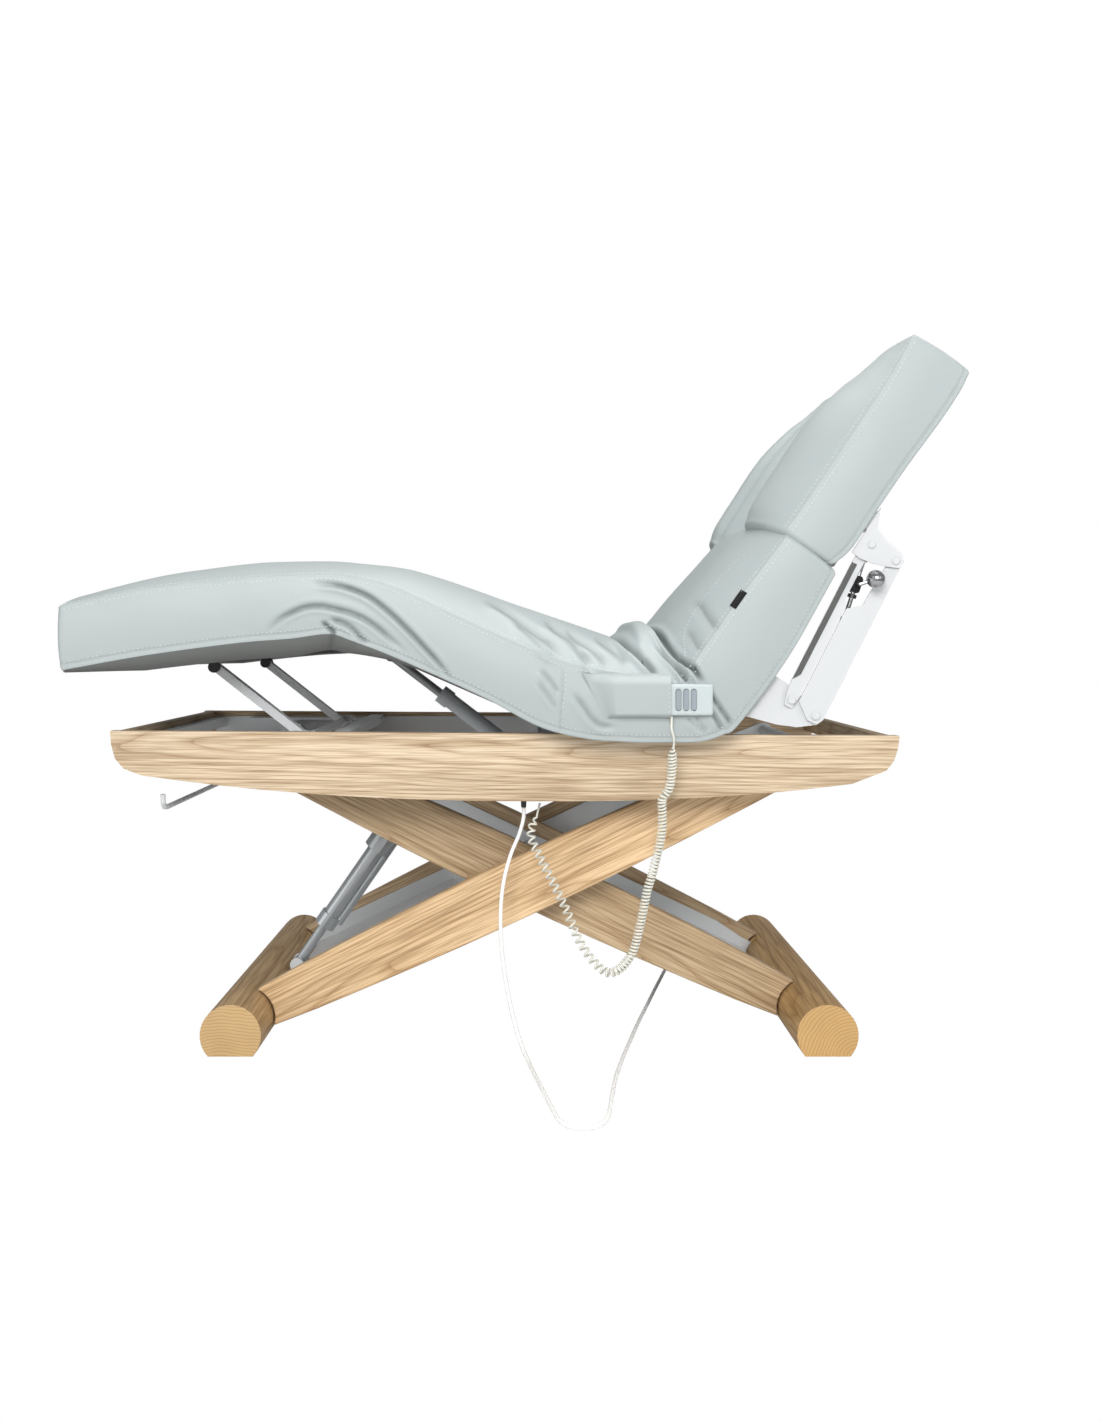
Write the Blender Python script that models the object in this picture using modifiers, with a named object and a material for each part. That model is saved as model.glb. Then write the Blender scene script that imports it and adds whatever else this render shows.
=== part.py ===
# Electric spa bed: scissor-lift wooden base, open tray, and a five-section upholstered top.
# Metres, +Z up. +X is the head end, -Y the side that carries the handset.
import math

import bmesh
import bpy
from mathutils import Matrix, Vector

# ---------------------------------------------------------------- driving dimensions
XC = 0.0334            # shift that puts the origin under the middle of the bed
LOG_R = 0.055          # turned foot logs
LOG_Z = 0.0375         # height of the log axis, so that the underside is cut flat
LOG_HALF = 0.350
FOOT_L, FOOT_R = -0.532, 0.536
TOP_Z = 0.540          # upper scissor pivots inside the tray
BEAM_END, BEAM_MID = 0.037, 0.055      # half widths of the wooden beams
A_IN, A_OUT = 0.228, 0.250             # outer beam pair
B_IN, B_OUT = 0.1735, 0.195            # inner beam pair
RAIL_T = 0.006
TRAY_TOP = 0.580
TRAY_TOP_HEAD = 0.571  # the rim falls a little towards the head end
TRAY_X0, TRAY_X1 = -0.757, 0.673
TRAY_IN, TRAY_OUT = 0.300, 0.322
PANEL_Z = 0.588        # underside of the flat section panels
PANEL_T = 0.014
PANEL_HALF = 0.315
PAD_HALF = 0.3725
PAD_T = 0.128
THIGH = (0.035, 0.588)
THIGH_DEG, THIGH_LEN = 23.6, 0.425
CALF_DEG, CALF_LEN = 8.4, 0.472
BACK = (0.3675, 0.588)
BACK_DEG, BACK_LEN = 57.0, 0.3235
HEAD_S0, HEAD_S1 = 0.340, 0.752        # head section, measured along the back
GAP = 0.0004

LIFT_LOW = (-0.470, 0.085)             # actuator eye on the outer beams
LIFT_HIGH = (-0.250, 0.403)            # actuator eye on the inner beams
LEG_LOW = (-0.010, 0.497)
LEG_HIGH = (-0.290, 0.711)
LINK_LOW = (-0.421, 0.560)
LINK_HIGH = (-0.592, 0.694)
# head linkage pivots, measured along and above the back panel's underside
L1, L2 = (0.0970, -0.0585), (0.0964, -0.1100)
U1 = (0.4058, -0.0265)
U2 = (U1[0] + L2[0] - L1[0], U1[1] + L2[1] - L1[1])
PLATE_Y, LINK_Y, BRACKET_Y = (0.3480, 0.3520), (0.3532, 0.3568), (0.3580, 0.3615)
CRANK_R = 0.060

CORD_D, CURLY_D = 0.007, 0.017

rad = math.radians

# ---------------------------------------------------------------- scene and helpers
for old in list(bpy.data.objects):
    bpy.data.objects.remove(old, do_unlink=True)

parts = bpy.data.collections.new("electric_spa_bed")
tools = bpy.data.collections.new("cutters")
bpy.context.scene.collection.children.link(parts)
bpy.context.scene.collection.children.link(tools)


def material(name, colour, roughness, metallic=0.0):
    mat = bpy.data.materials.new(name)
    mat.use_nodes = True
    shader = mat.node_tree.nodes["Principled BSDF"]
    shader.inputs["Base Color"].default_value = (*colour, 1.0)
    shader.inputs["Roughness"].default_value = roughness
    shader.inputs["Metallic"].default_value = metallic
    mat.diffuse_color = (*colour, 1.0)
    return mat


WOOD = material("oiled_ash", (0.62, 0.43, 0.24), 0.5)
WHITE = material("white_painted_steel", (0.80, 0.81, 0.82), 0.4)
GREY = material("grey_actuator_plastic", (0.55, 0.57, 0.58), 0.45)
ALU = material("anodised_aluminium", (0.68, 0.70, 0.71), 0.3, 1.0)
CHROME = material("chrome", (0.80, 0.80, 0.80), 0.1, 1.0)
BLACK = material("black_plastic", (0.02, 0.02, 0.02), 0.5)
HIDE = material("grey_leatherette", (0.55, 0.60, 0.60), 0.5)
SHELL = material("white_plastic", (0.85, 0.85, 0.83), 0.4)
KEY = material("grey_rubber", (0.42, 0.44, 0.46), 0.6)
CREAM = material("cream_cord", (0.80, 0.77, 0.68), 0.5)


def put(obj, mat=None):
    for col in list(obj.users_collection):
        col.objects.unlink(obj)
    parts.objects.link(obj)
    if mat is not None:
        obj.data.materials.clear()
        obj.data.materials.append(mat)
    return obj


def realised(obj):
    """The object's evaluated mesh, in world space and welded, in place of its own data."""
    graph = bpy.context.evaluated_depsgraph_get()
    graph.update()
    mesh = bpy.data.meshes.new_from_object(obj.evaluated_get(graph))
    mesh.transform(obj.matrix_world)
    bm = bmesh.new()
    bm.from_mesh(mesh)
    bmesh.ops.remove_doubles(bm, verts=bm.verts, dist=1e-6)
    bmesh.ops.recalc_face_normals(bm, faces=bm.faces)
    bm.to_mesh(mesh)
    bm.free()
    name = obj.name
    mats = [m for m in obj.data.materials]
    bpy.data.objects.remove(obj, do_unlink=True)
    new = bpy.data.objects.new(name, mesh)
    mesh.materials.clear()
    for m in mats:
        mesh.materials.append(m)
    parts.objects.link(new)
    return new


def outline(name, points, y0, y1, mat, sharp=True):
    """A flat outline in X and Z, drawn as a filled 2D curve and extruded from y0 to y1."""
    curve = bpy.data.curves.new(name, "CURVE")
    curve.dimensions = "2D"
    curve.fill_mode = "BOTH"
    curve.extrude = abs(y1 - y0) / 2
    spline = curve.splines.new("POLY")
    spline.points.add(len(points) - 1)
    for point, (x, z) in zip(spline.points, points):
        point.co = (x + XC, z, 0.0, 1.0)
    spline.use_cyclic_u = True
    obj = bpy.data.objects.new(name, curve)
    obj.rotation_euler = (math.pi / 2, 0, 0)
    obj.location = (0, (y0 + y1) / 2, 0)
    put(obj, mat)
    bpy.context.view_layer.update()
    return realised(obj)


def block(name, x0, x1, y0, y1, z0, z1, mat, bevel=0.0):
    bpy.ops.mesh.primitive_cube_add(size=1.0)
    obj = bpy.context.object
    obj.name = name
    obj.data.transform(
        Matrix.Translation(((x0 + x1) / 2 + XC, (y0 + y1) / 2, (z0 + z1) / 2))
        @ Matrix.Diagonal((x1 - x0, y1 - y0, z1 - z0, 1.0))
    )
    put(obj, mat)
    if bevel:
        mod = obj.modifiers.new("edge", "BEVEL")
        mod.width = bevel
        mod.segments = 2
        mod.limit_method = "ANGLE"
        bpy.context.view_layer.update()
        obj = realised(obj)
    return obj


def rod(name, a, b, radius, mat, sides=16, end=None):
    """A round bar from a to b, given as (x, y, z). end tapers its far end."""
    a, b = Vector(a), Vector(b)
    a.x += XC
    b.x += XC
    bpy.ops.mesh.primitive_cone_add(
        vertices=sides, radius1=radius, radius2=radius if end is None else end,
        depth=(b - a).length, end_fill_type="NGON",
    )
    obj = bpy.context.object
    obj.name = name
    turn = (b - a).to_track_quat("Z", "Y").to_matrix().to_4x4()
    obj.data.transform(Matrix.Translation((a + b) / 2) @ turn)
    obj.data.shade_smooth()
    obj.data.set_sharp_from_angle(angle=rad(40))
    return put(obj, mat)


def across(name, x, z, y0, y1, radius, mat, sides=16):
    return rod(name, (x, y0, z), (x, y1, z), radius, mat, sides)


def fused(name, pieces):
    """Boolean union of pieces, kept under the first one's material."""
    first = pieces[0]
    for other in pieces[1:]:
        mod = first.modifiers.new("join", "BOOLEAN")
        mod.operation = "UNION"
        mod.object = other
    bpy.context.view_layer.update()
    first.name = name
    done = realised(first)
    for other in pieces[1:]:
        bpy.data.objects.remove(other, do_unlink=True)
    done.name = name
    return done


def cut(obj, cutters):
    for tool in cutters:
        tool.hide_render = True
        tool.display_type = "WIRE"
        mod = obj.modifiers.new("cut", "BOOLEAN")
        mod.operation = "DIFFERENCE"
        mod.object = tool
    bpy.context.view_layer.update()
    done = realised(obj)
    for tool in cutters:
        bpy.data.objects.remove(tool, do_unlink=True)
    return done


def along(origin, deg, s, t):
    """A point s along a panel that rises to +X at deg, and t above its underside."""
    c, n = math.cos(rad(deg)), math.sin(rad(deg))
    return (origin[0] + s * c - t * n, origin[1] + s * n + t * c)


def smooth(points, count, closed=False):
    """count points, evenly spaced, on a Catmull-Rom curve through points."""
    pts = [Vector(p) for p in points]
    fine = []
    for i in range(len(pts) - 1):
        p0 = pts[i - 1] if i else pts[0] * 2 - pts[1]
        p1, p2 = pts[i], pts[i + 1]
        p3 = pts[i + 2] if i + 2 < len(pts) else pts[-1] * 2 - pts[-2]
        for k in range(24):
            u = k / 24
            fine.append(
                0.5 * (2 * p1 + (p2 - p0) * u + (2 * p0 - 5 * p1 + 4 * p2 - p3) * u * u
                       + (3 * p1 - p0 - 3 * p2 + p3) * u ** 3)
            )
    fine.append(pts[-1])
    run = [0.0]
    for a, b in zip(fine, fine[1:]):
        run.append(run[-1] + (b - a).length)
    out, j = [], 0
    for i in range(count):
        want = run[-1] * i / (count - 1)
        while j < len(run) - 2 and run[j + 1] < want:
            j += 1
        u = (want - run[j]) / max(run[j + 1] - run[j], 1e-9)
        out.append(fine[j].lerp(fine[j + 1], u))
    return out


def tube(name, points, diameter, mat, resolution=2):
    curve = bpy.data.curves.new(name, "CURVE")
    curve.dimensions = "3D"
    curve.bevel_depth = diameter / 2
    curve.bevel_resolution = resolution
    curve.use_fill_caps = True
    spline = curve.splines.new("POLY")
    spline.points.add(len(points) - 1)
    for point, p in zip(spline.points, points):
        point.co = (p[0] + XC, p[1], p[2], 1.0)
    obj = bpy.data.objects.new(name, curve)
    put(obj, mat)
    bpy.context.view_layer.update()
    return realised(obj)


# ---------------------------------------------------------------- scissor base
PL, PR = (FOOT_L, LOG_Z), (FOOT_R, LOG_Z)
SPAN, RISE = FOOT_R - FOOT_L, TOP_Z - LOG_Z
BEAM_LEN = math.hypot(SPAN, RISE)
BEAM_DEG = math.degrees(math.atan2(RISE, SPAN))
MID = ((FOOT_L + FOOT_R) / 2, (LOG_Z + TOP_Z) / 2)


def leg_point(side, s, t):
    """s along a beam from its foot log, t above its axis. side +1 rises to +X, -1 to -X."""
    foot = PL if side > 0 else PR
    c, n = math.cos(rad(BEAM_DEG)), math.sin(rad(BEAM_DEG))
    return (foot[0] + side * (s * c - t * n), foot[1] + s * n + t * c)


def foot_log(name, side, rail_y):
    """A turned log cut flat underneath, bored for its axle and slotted for two steel rails."""
    foot = PL if side > 0 else PR
    half = math.acos(-LOG_Z / LOG_R) * 0.999
    ring = [
        (foot[0] + LOG_R * math.sin(half * u), foot[1] + LOG_R * math.cos(half * u))
        for u in [-1 + i / 14 for i in range(29)]
    ]
    ring[0] = (ring[0][0], 0.0)
    ring[-1] = (ring[-1][0], 0.0)
    log = outline(name, ring, -LOG_HALF, LOG_HALF, WOOD)
    mod = log.modifiers.new("edge", "BEVEL")
    mod.width = 0.004
    mod.segments = 2
    mod.limit_method = "ANGLE"
    mod.angle_limit = rad(60)
    bpy.context.view_layer.update()
    log = realised(log)
    bore = across("bore", foot[0], foot[1], -rail_y - 0.010, rail_y + 0.010, 0.0150, WOOD)
    wedge = []
    lo, hi, off = BEAM_DEG - 13, BEAM_DEG + 15, 0.0170
    for ang, base in ((hi, hi + 90), (lo, lo - 90)):
        near = (off * math.cos(rad(base)), off * math.sin(rad(base)))
        far = (near[0] + 0.12 * math.cos(rad(ang)), near[1] + 0.12 * math.sin(rad(ang)))
        wedge.append((near, far))
    shape = [wedge[1][0], wedge[1][1], wedge[0][1], wedge[0][0]]
    for i in range(1, 8):
        ang = hi + 90 + (180 - (hi - lo)) * i / 8
        shape.append((off * math.cos(rad(ang)), off * math.sin(rad(ang))))
    shape = [(foot[0] + side * x, foot[1] + z) for x, z in shape]
    slots = [
        outline(f"slot{s}", shape, s * (rail_y - RAIL_T - 0.003), s * (rail_y + 0.003), WOOD)
        for s in (-1, 1)
    ]
    return cut(log, [bore, *slots])


def beam_board(name, side, y0, y1, hole):
    top, bottom = [], []
    last = BEAM_LEN - 0.075
    hug = LOG_R + 0.0035
    spread = math.asin(BEAM_END / hug)
    arc = [
        leg_point(side, hug * math.cos(spread * u), hug * math.sin(spread * u))
        for u in [-1 + i / 5 for i in range(11)]
    ]
    for i in range(1, 15):
        s = hug + (last - hug) * i / 14
        w = BEAM_END + (BEAM_MID - BEAM_END) * math.sin(math.pi * s / BEAM_LEN)
        top.append(leg_point(side, s, w))
        bottom.append(leg_point(side, s, -w))
    board = outline(name, bottom + top[::-1] + arc[::-1], y0, y1, WOOD)
    mod = board.modifiers.new("edge", "BEVEL")
    mod.width = 0.002
    mod.segments = 1
    mod.limit_method = "ANGLE"
    mod.angle_limit = rad(50)
    bpy.context.view_layer.update()
    board = realised(board)
    if hole:
        board = cut(board, [across("hole", *MID, y0 - 0.01, y1 + 0.01, 0.0128, WOOD)])
    return board


def beam_steel(name, side, rail_out, lug_s, lug_t, lug_y):
    rails = []
    for s in (-1, 1):
        shape = []
        for i in range(9):
            ang = rad(90 + 180 * i / 8)
            shape.append(leg_point(side, 0.0145 * math.cos(ang), 0.0145 * math.sin(ang)))
        low = [(0.075, -0.016), (0.14, -0.026), (BEAM_LEN - 0.10, -0.026)]
        shape += [leg_point(side, *p) for p in low]
        for i in range(9):
            ang = rad(-90 + 180 * i / 8)
            shape.append(leg_point(side, BEAM_LEN + 0.018 * math.cos(ang), 0.018 * math.sin(ang)))
        shape += [leg_point(side, p[0], -p[1]) for p in low[::-1]]
        y = sorted((s * rail_out, s * (rail_out - RAIL_T)))
        rails.append(outline(f"rail{s}", shape, y[0], y[1], WHITE))
    inner = rail_out - RAIL_T / 2
    foot = PL if side > 0 else PR
    axle = across("axle", *foot, -inner, inner, 0.0138, WHITE)
    web = outline(
        "web",
        [leg_point(side, 0.064, -0.006), leg_point(side, 0.40, -0.006),
         leg_point(side, 0.40, -0.003), leg_point(side, 0.064, -0.003)],
        -inner, inner, WHITE,
    )
    brace = outline(
        "brace",
        [leg_point(side, 0.88, -0.020), leg_point(side, 0.92, -0.020),
         leg_point(side, 0.92, 0.0), leg_point(side, 0.88, 0.0)],
        -inner, inner, WHITE,
    )
    lugs = []
    for dy in (-0.021, 0.015) if side > 0 else ():
        ring = [leg_point(side, lug_s - 0.010, -0.0045), leg_point(side, lug_s + 0.030, -0.0045)]
        for i in range(7):
            ang = rad(180 * i / 6)
            ring.append(leg_point(side, lug_s + 0.014 * math.cos(ang), lug_t + 0.014 * math.sin(ang)))
        lugs.append(outline("lug", ring, lug_y + dy, lug_y + dy + 0.006, WHITE))
    return rails, axle, web, brace, lugs


def leg_local(side, point):
    foot = PL if side > 0 else PR
    c, n = math.cos(rad(BEAM_DEG)), math.sin(rad(BEAM_DEG))
    dx, dz = side * (point[0] - foot[0]), point[1] - foot[1]
    return dx * c + dz * n, -dx * n + dz * c


A_RAIL, B_RAIL = A_IN - 0.0015, B_IN - 0.0015
LIFT_Y = -0.040

foot_log_right = foot_log("foot_log_right", -1, B_RAIL)
foot_log_left = foot_log("foot_log_left", 1, A_RAIL)

beam_a_near = beam_board("beam_a_near", 1, -A_OUT, -A_IN, False)
beam_a_far = beam_board("beam_a_far", 1, A_IN, A_OUT, False)
beam_b_near = beam_board("beam_b_near", -1, -B_OUT, -B_IN, True)
beam_b_far = beam_board("beam_b_far", -1, B_IN, B_OUT, True)

low_s, low_t = leg_local(1, LIFT_LOW)
rails, axle, web, brace, lugs = beam_steel("a", 1, A_RAIL, low_s, low_t, LIFT_Y)
top_shaft = across("top", FOOT_R, TOP_Z, -0.2975, 0.2975, 0.012, WHITE)
pin = across("pin", *LIFT_LOW, LIFT_Y - 0.019, LIFT_Y + 0.019, 0.005, WHITE, 12)
beam_a_steel = fused("beam_a_steel", [rails[0], rails[1], axle, web, brace, top_shaft, *lugs, pin])
beam_a_steel = cut(beam_a_steel, [across("hole", *MID, -0.30, 0.30, 0.0128, WHITE)])

high_s, high_t = leg_local(-1, LIFT_HIGH)
rails, axle, web, brace, lugs = beam_steel("b", -1, B_RAIL, high_s, high_t, LIFT_Y)
bar = outline(
    "bar",
    [leg_point(-1, high_s - 0.022, -0.012), leg_point(-1, high_s + 0.022, -0.012),
     leg_point(-1, high_s + 0.022, 0.012), leg_point(-1, high_s - 0.022, 0.012)],
    -B_RAIL + 0.003, B_RAIL - 0.003, WHITE,
)
bpy.data.objects.remove(brace, do_unlink=True)
beam_b_steel = fused("beam_b_steel", [rails[0], rails[1], axle, web, bar])
beam_b_steel = cut(beam_b_steel, [
    across("hole", *MID, -0.30, 0.30, 0.0128, WHITE),
    across("hole2", FOOT_L, TOP_Z, -0.30, 0.30, 0.0098, WHITE),
])

scissor_pivot_shaft = across("scissor_pivot_shaft", *MID, -A_RAIL, A_RAIL, 0.0122, ALU)

roller_axle = across("lift_roller_axle", FOOT_L, TOP_Z, -0.268, 0.268, 0.0092, ALU)
wheels = [across("wheel", FOOT_L, TOP_Z, *y, 0.0165, BLACK, 20) for y in ((-0.267, -0.246), (0.246, 0.267))]
lift_roller_axle = fused("lift_roller_axle", [roller_axle, *wheels])

# ---------------------------------------------------------------- lift actuator
lift_dir = Vector((LIFT_HIGH[0] - LIFT_LOW[0], 0, LIFT_HIGH[1] - LIFT_LOW[1]))
lift_len = lift_dir.length
lift_dir.normalize()


def lift_at(s, off=0.0, y=LIFT_Y):
    side = Vector((lift_dir.z, 0, -lift_dir.x)) * off
    return (LIFT_LOW[0] + lift_dir.x * s + side.x, y, LIFT_LOW[1] + lift_dir.z * s + side.z)


eye = across("eye", *LIFT_LOW, LIFT_Y - 0.0135, LIFT_Y + 0.0135, 0.0125, ALU)
shank = rod("shank", lift_at(0.006), lift_at(0.200), 0.0095, ALU)
lift_actuator_rod = fused("lift_actuator_rod", [eye, shank])
lift_actuator_rod = cut(lift_actuator_rod, [across("hole", *LIFT_LOW, LIFT_Y - 0.03, LIFT_Y + 0.03, 0.0054, ALU, 12)])

barrel = rod("barrel", lift_at(0.097), lift_at(lift_len - 0.055), 0.0180, ALU, 20)
collar = rod("collar", lift_at(0.093), lift_at(0.121), 0.0215, GREY, 20)
rail_bar = rod("side", lift_at(0.112, 0.021), lift_at(lift_len - 0.060, 0.021), 0.0085, GREY, 12)
head_block = rod("headblock", lift_at(lift_len - 0.105), lift_at(lift_len - 0.045), 0.0275, GREY, 20)
fork = rod("fork", lift_at(lift_len - 0.050), lift_at(lift_len - 0.022), 0.0120, GREY, 12)
lift_actuator_tube = fused("lift_actuator_tube", [barrel, collar, rail_bar, head_block, fork])
lift_actuator_tube = cut(lift_actuator_tube, [rod("bore", lift_at(0.04), lift_at(0.292), 0.0100, ALU)])

# ---------------------------------------------------------------- tray
def arc_pts(cx, cz, r, a0, a1, n):
    return [(cx + r * math.cos(rad(a0 + (a1 - a0) * i / n)), cz + r * math.sin(rad(a0 + (a1 - a0) * i / n)))
            for i in range(n + 1)]


def tray_bottom(x):
    """Height of the side boards' curved lower edge: deepest just left of the middle."""
    mid = -0.05 + 0.15 * 0.6
    u = (x - mid) / (0.74 if x < mid else 0.65)
    return 0.4525 + 0.047 * abs(u) ** 2.3


tray_shape = [(TRAY_X0, TRAY_TOP), (TRAY_X0 + 0.002, 0.556), (TRAY_X0 + 0.009, 0.530)]
tray_shape += [(TRAY_X0 + 0.024, 0.512)]
tray_shape += [(x, tray_bottom(x)) for x in [-0.70 + i * 0.0715 for i in range(19)]]
tray_shape += [(TRAY_X1 - 0.024, 0.508), (TRAY_X1 - 0.010, 0.526), (TRAY_X1 - 0.003, 0.548), (TRAY_X1, TRAY_TOP_HEAD)]


def tray_board(name, y0, y1):
    board = outline(name, tray_shape, y0, y1, WOOD)
    mod = board.modifiers.new("edge", "BEVEL")
    mod.width = 0.002
    mod.segments = 1
    mod.limit_method = "ANGLE"
    mod.angle_limit = rad(50)
    bpy.context.view_layer.update()
    return realised(board)


tray_board_near = tray_board("tray_board_near", -TRAY_OUT, -TRAY_IN)
tray_board_far = tray_board("tray_board_far", TRAY_IN, TRAY_OUT)
END_HALF = TRAY_IN - GAP
tray_board_foot = block("tray_board_foot", TRAY_X0 + 0.006, TRAY_X0 + 0.026, -END_HALF, END_HALF, 0.534, TRAY_TOP - 0.001, WOOD, 0.0015)
tray_board_head = block("tray_board_head", TRAY_X1 - 0.028, TRAY_X1 - 0.008, -END_HALF, END_HALF, 0.534, TRAY_TOP_HEAD - 0.001, WOOD, 0.0015)

# white steel chassis: two side plates with roller ledges, cross tubes, and bearing lugs
CH_X0, CH_X1 = TRAY_X0 + 0.030, 0.470
frame = []
for s in (-1, 1):
    y = sorted((s * 0.2955, s * 0.2990))
    frame.append(outline(
        f"plate{s}",
        [(CH_X0, 0.568), (CH_X0, 0.530), (-0.45, 0.490), (0.40, 0.490), (CH_X1, 0.508), (CH_X1, 0.568)],
        y[0], y[1], WHITE,
    ))
    y = sorted((s * 0.2425, s * 0.2960))
    frame.append(block("ledge", -0.640, -0.330, y[0], y[1], 0.5635, 0.5670, WHITE))
    frame.append(block("ledge", -0.640, -0.330, y[0], y[1], 0.5110, 0.5145, WHITE))
    y = sorted((s * 0.2330, s * 0.2440))
    frame.append(block("lug", LINK_LOW[0] - 0.020, LINK_LOW[0] + 0.020, y[0], y[1], 0.540, 0.5740, WHITE))
# cross tubes: under the calf end, under the thigh hinge, under the seat, behind the back hinge
for x, w, z0, z1 in ((-0.715, 0.024, 0.545, 0.566), (-0.352, 0.028, 0.553, 0.572),
                     (THIGH[0] - 0.001, 0.028, 0.552, 0.571), (0.306, 0.026, 0.552, 0.571)):
    frame.append(block("cross", x - w / 2, x + w / 2, -0.2965, 0.2965, z0, z1, WHITE))
# uprights that carry the seat panel's two hinge pins
for x, low in ((THIGH[0], (0.023, 0.047)), (BACK[0], (0.296, 0.318))):
    shape = [(low[0], 0.5545), (low[1], 0.5545), (x + 0.011, 0.5860), (x + 0.008, 0.5960), (x, 0.5990), (x - 0.008, 0.5960), (x - 0.0105, 0.5860)]
    if x == BACK[0]:
        shape.append((0.330, 0.5725))
    for yy in (-0.262, 0.252):
        frame.append(outline("upright", shape, yy, yy + 0.010, WHITE))
# clevis for the leg actuator, hung from the seat cross tube
LEG_Y = 0.055
for dy in (-0.0240, 0.0180):
    frame.append(outline(
        "clevis",
        [(0.022, 0.560), (0.048, 0.560), (0.012, 0.490)] + arc_pts(*LEG_LOW, 0.013, -60, -200, 6),
        LEG_Y + dy, LEG_Y + dy + 0.006, WHITE,
    ))
tray_chassis = fused("tray_chassis", frame)
cutters = [
    block("slot", FOOT_R - 0.0135, FOOT_R + 0.0135, -0.31, 0.31, 0.5185, 0.5545, WHITE),
    across("hole", *THIGH, -0.31, 0.31, 0.0063, WHITE, 12),
    across("hole2", *BACK, -0.31, 0.31, 0.0063, WHITE, 12),
    across("hole3", *LINK_LOW, -0.245, -0.225, 0.0086, WHITE, 12),
    across("hole4", *LINK_LOW, 0.225, 0.245, 0.0086, WHITE, 12),
    across("hole5", *LEG_LOW, LEG_Y - 0.03, LEG_Y + 0.03, 0.0063, WHITE, 12),
]
tray_chassis = cut(tray_chassis, cutters)

thigh_hinge_pin = across("thigh_hinge_pin", *THIGH, -0.272, 0.272, 0.0060, ALU, 12)
back_hinge_pin = across("back_hinge_pin", *BACK, -0.272, 0.272, 0.0060, ALU, 12)

# seat panel between the two hinges, notched where the uprights pass
seat_board = block("seat_board", THIGH[0] + 0.014, BACK[0] - 0.014, -PANEL_HALF, PANEL_HALF, PANEL_Z, PANEL_Z + PANEL_T, WHITE)
feet = [block("foot", 0.294, 0.318, y - 0.02, y + 0.02, 0.5713, 0.590, WHITE) for y in (-0.15, 0.15)]
feet += [block("foot", THIGH[0] + 0.016, THIGH[0] + 0.036, y - 0.02, y + 0.02, 0.5740, 0.590, WHITE) for y in (-0.15, 0.15)]
seat_board = fused("seat_board", [seat_board, *feet])

control_box = block("control_box", -0.095, 0.015, -0.155, -0.005, 0.500, 0.548, GREY, 0.004)
cord_outlet = block("cord_outlet", -0.022, 0.040, -0.2948, -0.262, 0.462, 0.496, BLACK, 0.003)
relief = rod("relief", (-0.008, -0.280, 0.466), (-0.008, -0.280, 0.436), 0.0065, BLACK, 12, 0.0046)
boss = rod("boss", (0.022, -0.280, 0.466), (0.022, -0.280, 0.448), 0.0095, BLACK, 12, 0.0090)
cord_outlet = fused("cord_outlet", [cord_outlet, relief, boss])

# paper-roll bar across the foot end, held by a bracket on the far side
bar_x, bar_z = -0.668, 0.436
bar_path = [(bar_x, 0.292, 0.470), (bar_x, 0.292, 0.452), (bar_x, 0.286, 0.441), (bar_x, 0.270, bar_z),
            (bar_x, 0.0, bar_z), (bar_x, -0.270, bar_z), (bar_x, -0.289, bar_z + 0.002),
            (bar_x, -0.297, bar_z + 0.011), (bar_x, -0.299, bar_z + 0.026)]
bar_tube = tube("paper_roll_bar", bar_path, 0.010, WHITE, 2)
foot_plate = block("plate", bar_x - 0.022, bar_x + 0.022, 0.2860, 0.2950, 0.462, 0.530, WHITE)
paper_roll_bar = fused("paper_roll_bar", [foot_plate, bar_tube])

# ---------------------------------------------------------------- section panels and pads
# s runs along a section from its hinge, t up from its panel's underside


def thigh_pt(s, t):
    c, n = math.cos(rad(THIGH_DEG)), math.sin(rad(THIGH_DEG))
    return (THIGH[0] - s * c + t * n, THIGH[1] + s * n + t * c)


KNEE = thigh_pt(THIGH_LEN, 0.0)


def calf_pt(s, t):
    c, n = math.cos(rad(CALF_DEG)), math.sin(rad(CALF_DEG))
    return (KNEE[0] - s * c - t * n, KNEE[1] - s * n + t * c)


def back_pt(s, t):
    return along(BACK, BACK_DEG, s, t)


def leaf(place, s_in, spans, mat=WHITE):
    """Hinge leaves: a round end about s=0, t=0 that reaches in to s_in."""
    got = []
    sign = 1 if s_in > 0 else -1
    for y0, y1 in spans:
        ring = [place(s_in, 0.002), place(s_in, 0.0105)]
        for a in (90, 126, 162, 198, 234, 262):
            ring.append(place(sign * 0.0105 * math.cos(rad(a)), 0.0105 * math.sin(rad(a))))
        got.append(outline("leaf", ring, y0, y1, mat))
    return got


def slab(name, place, s0, s1, half, mat=WHITE):
    return outline(name, [place(s0, 0), place(s1, 0), place(s1, PANEL_T), place(s0, PANEL_T)], -half, half, mat)


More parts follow.
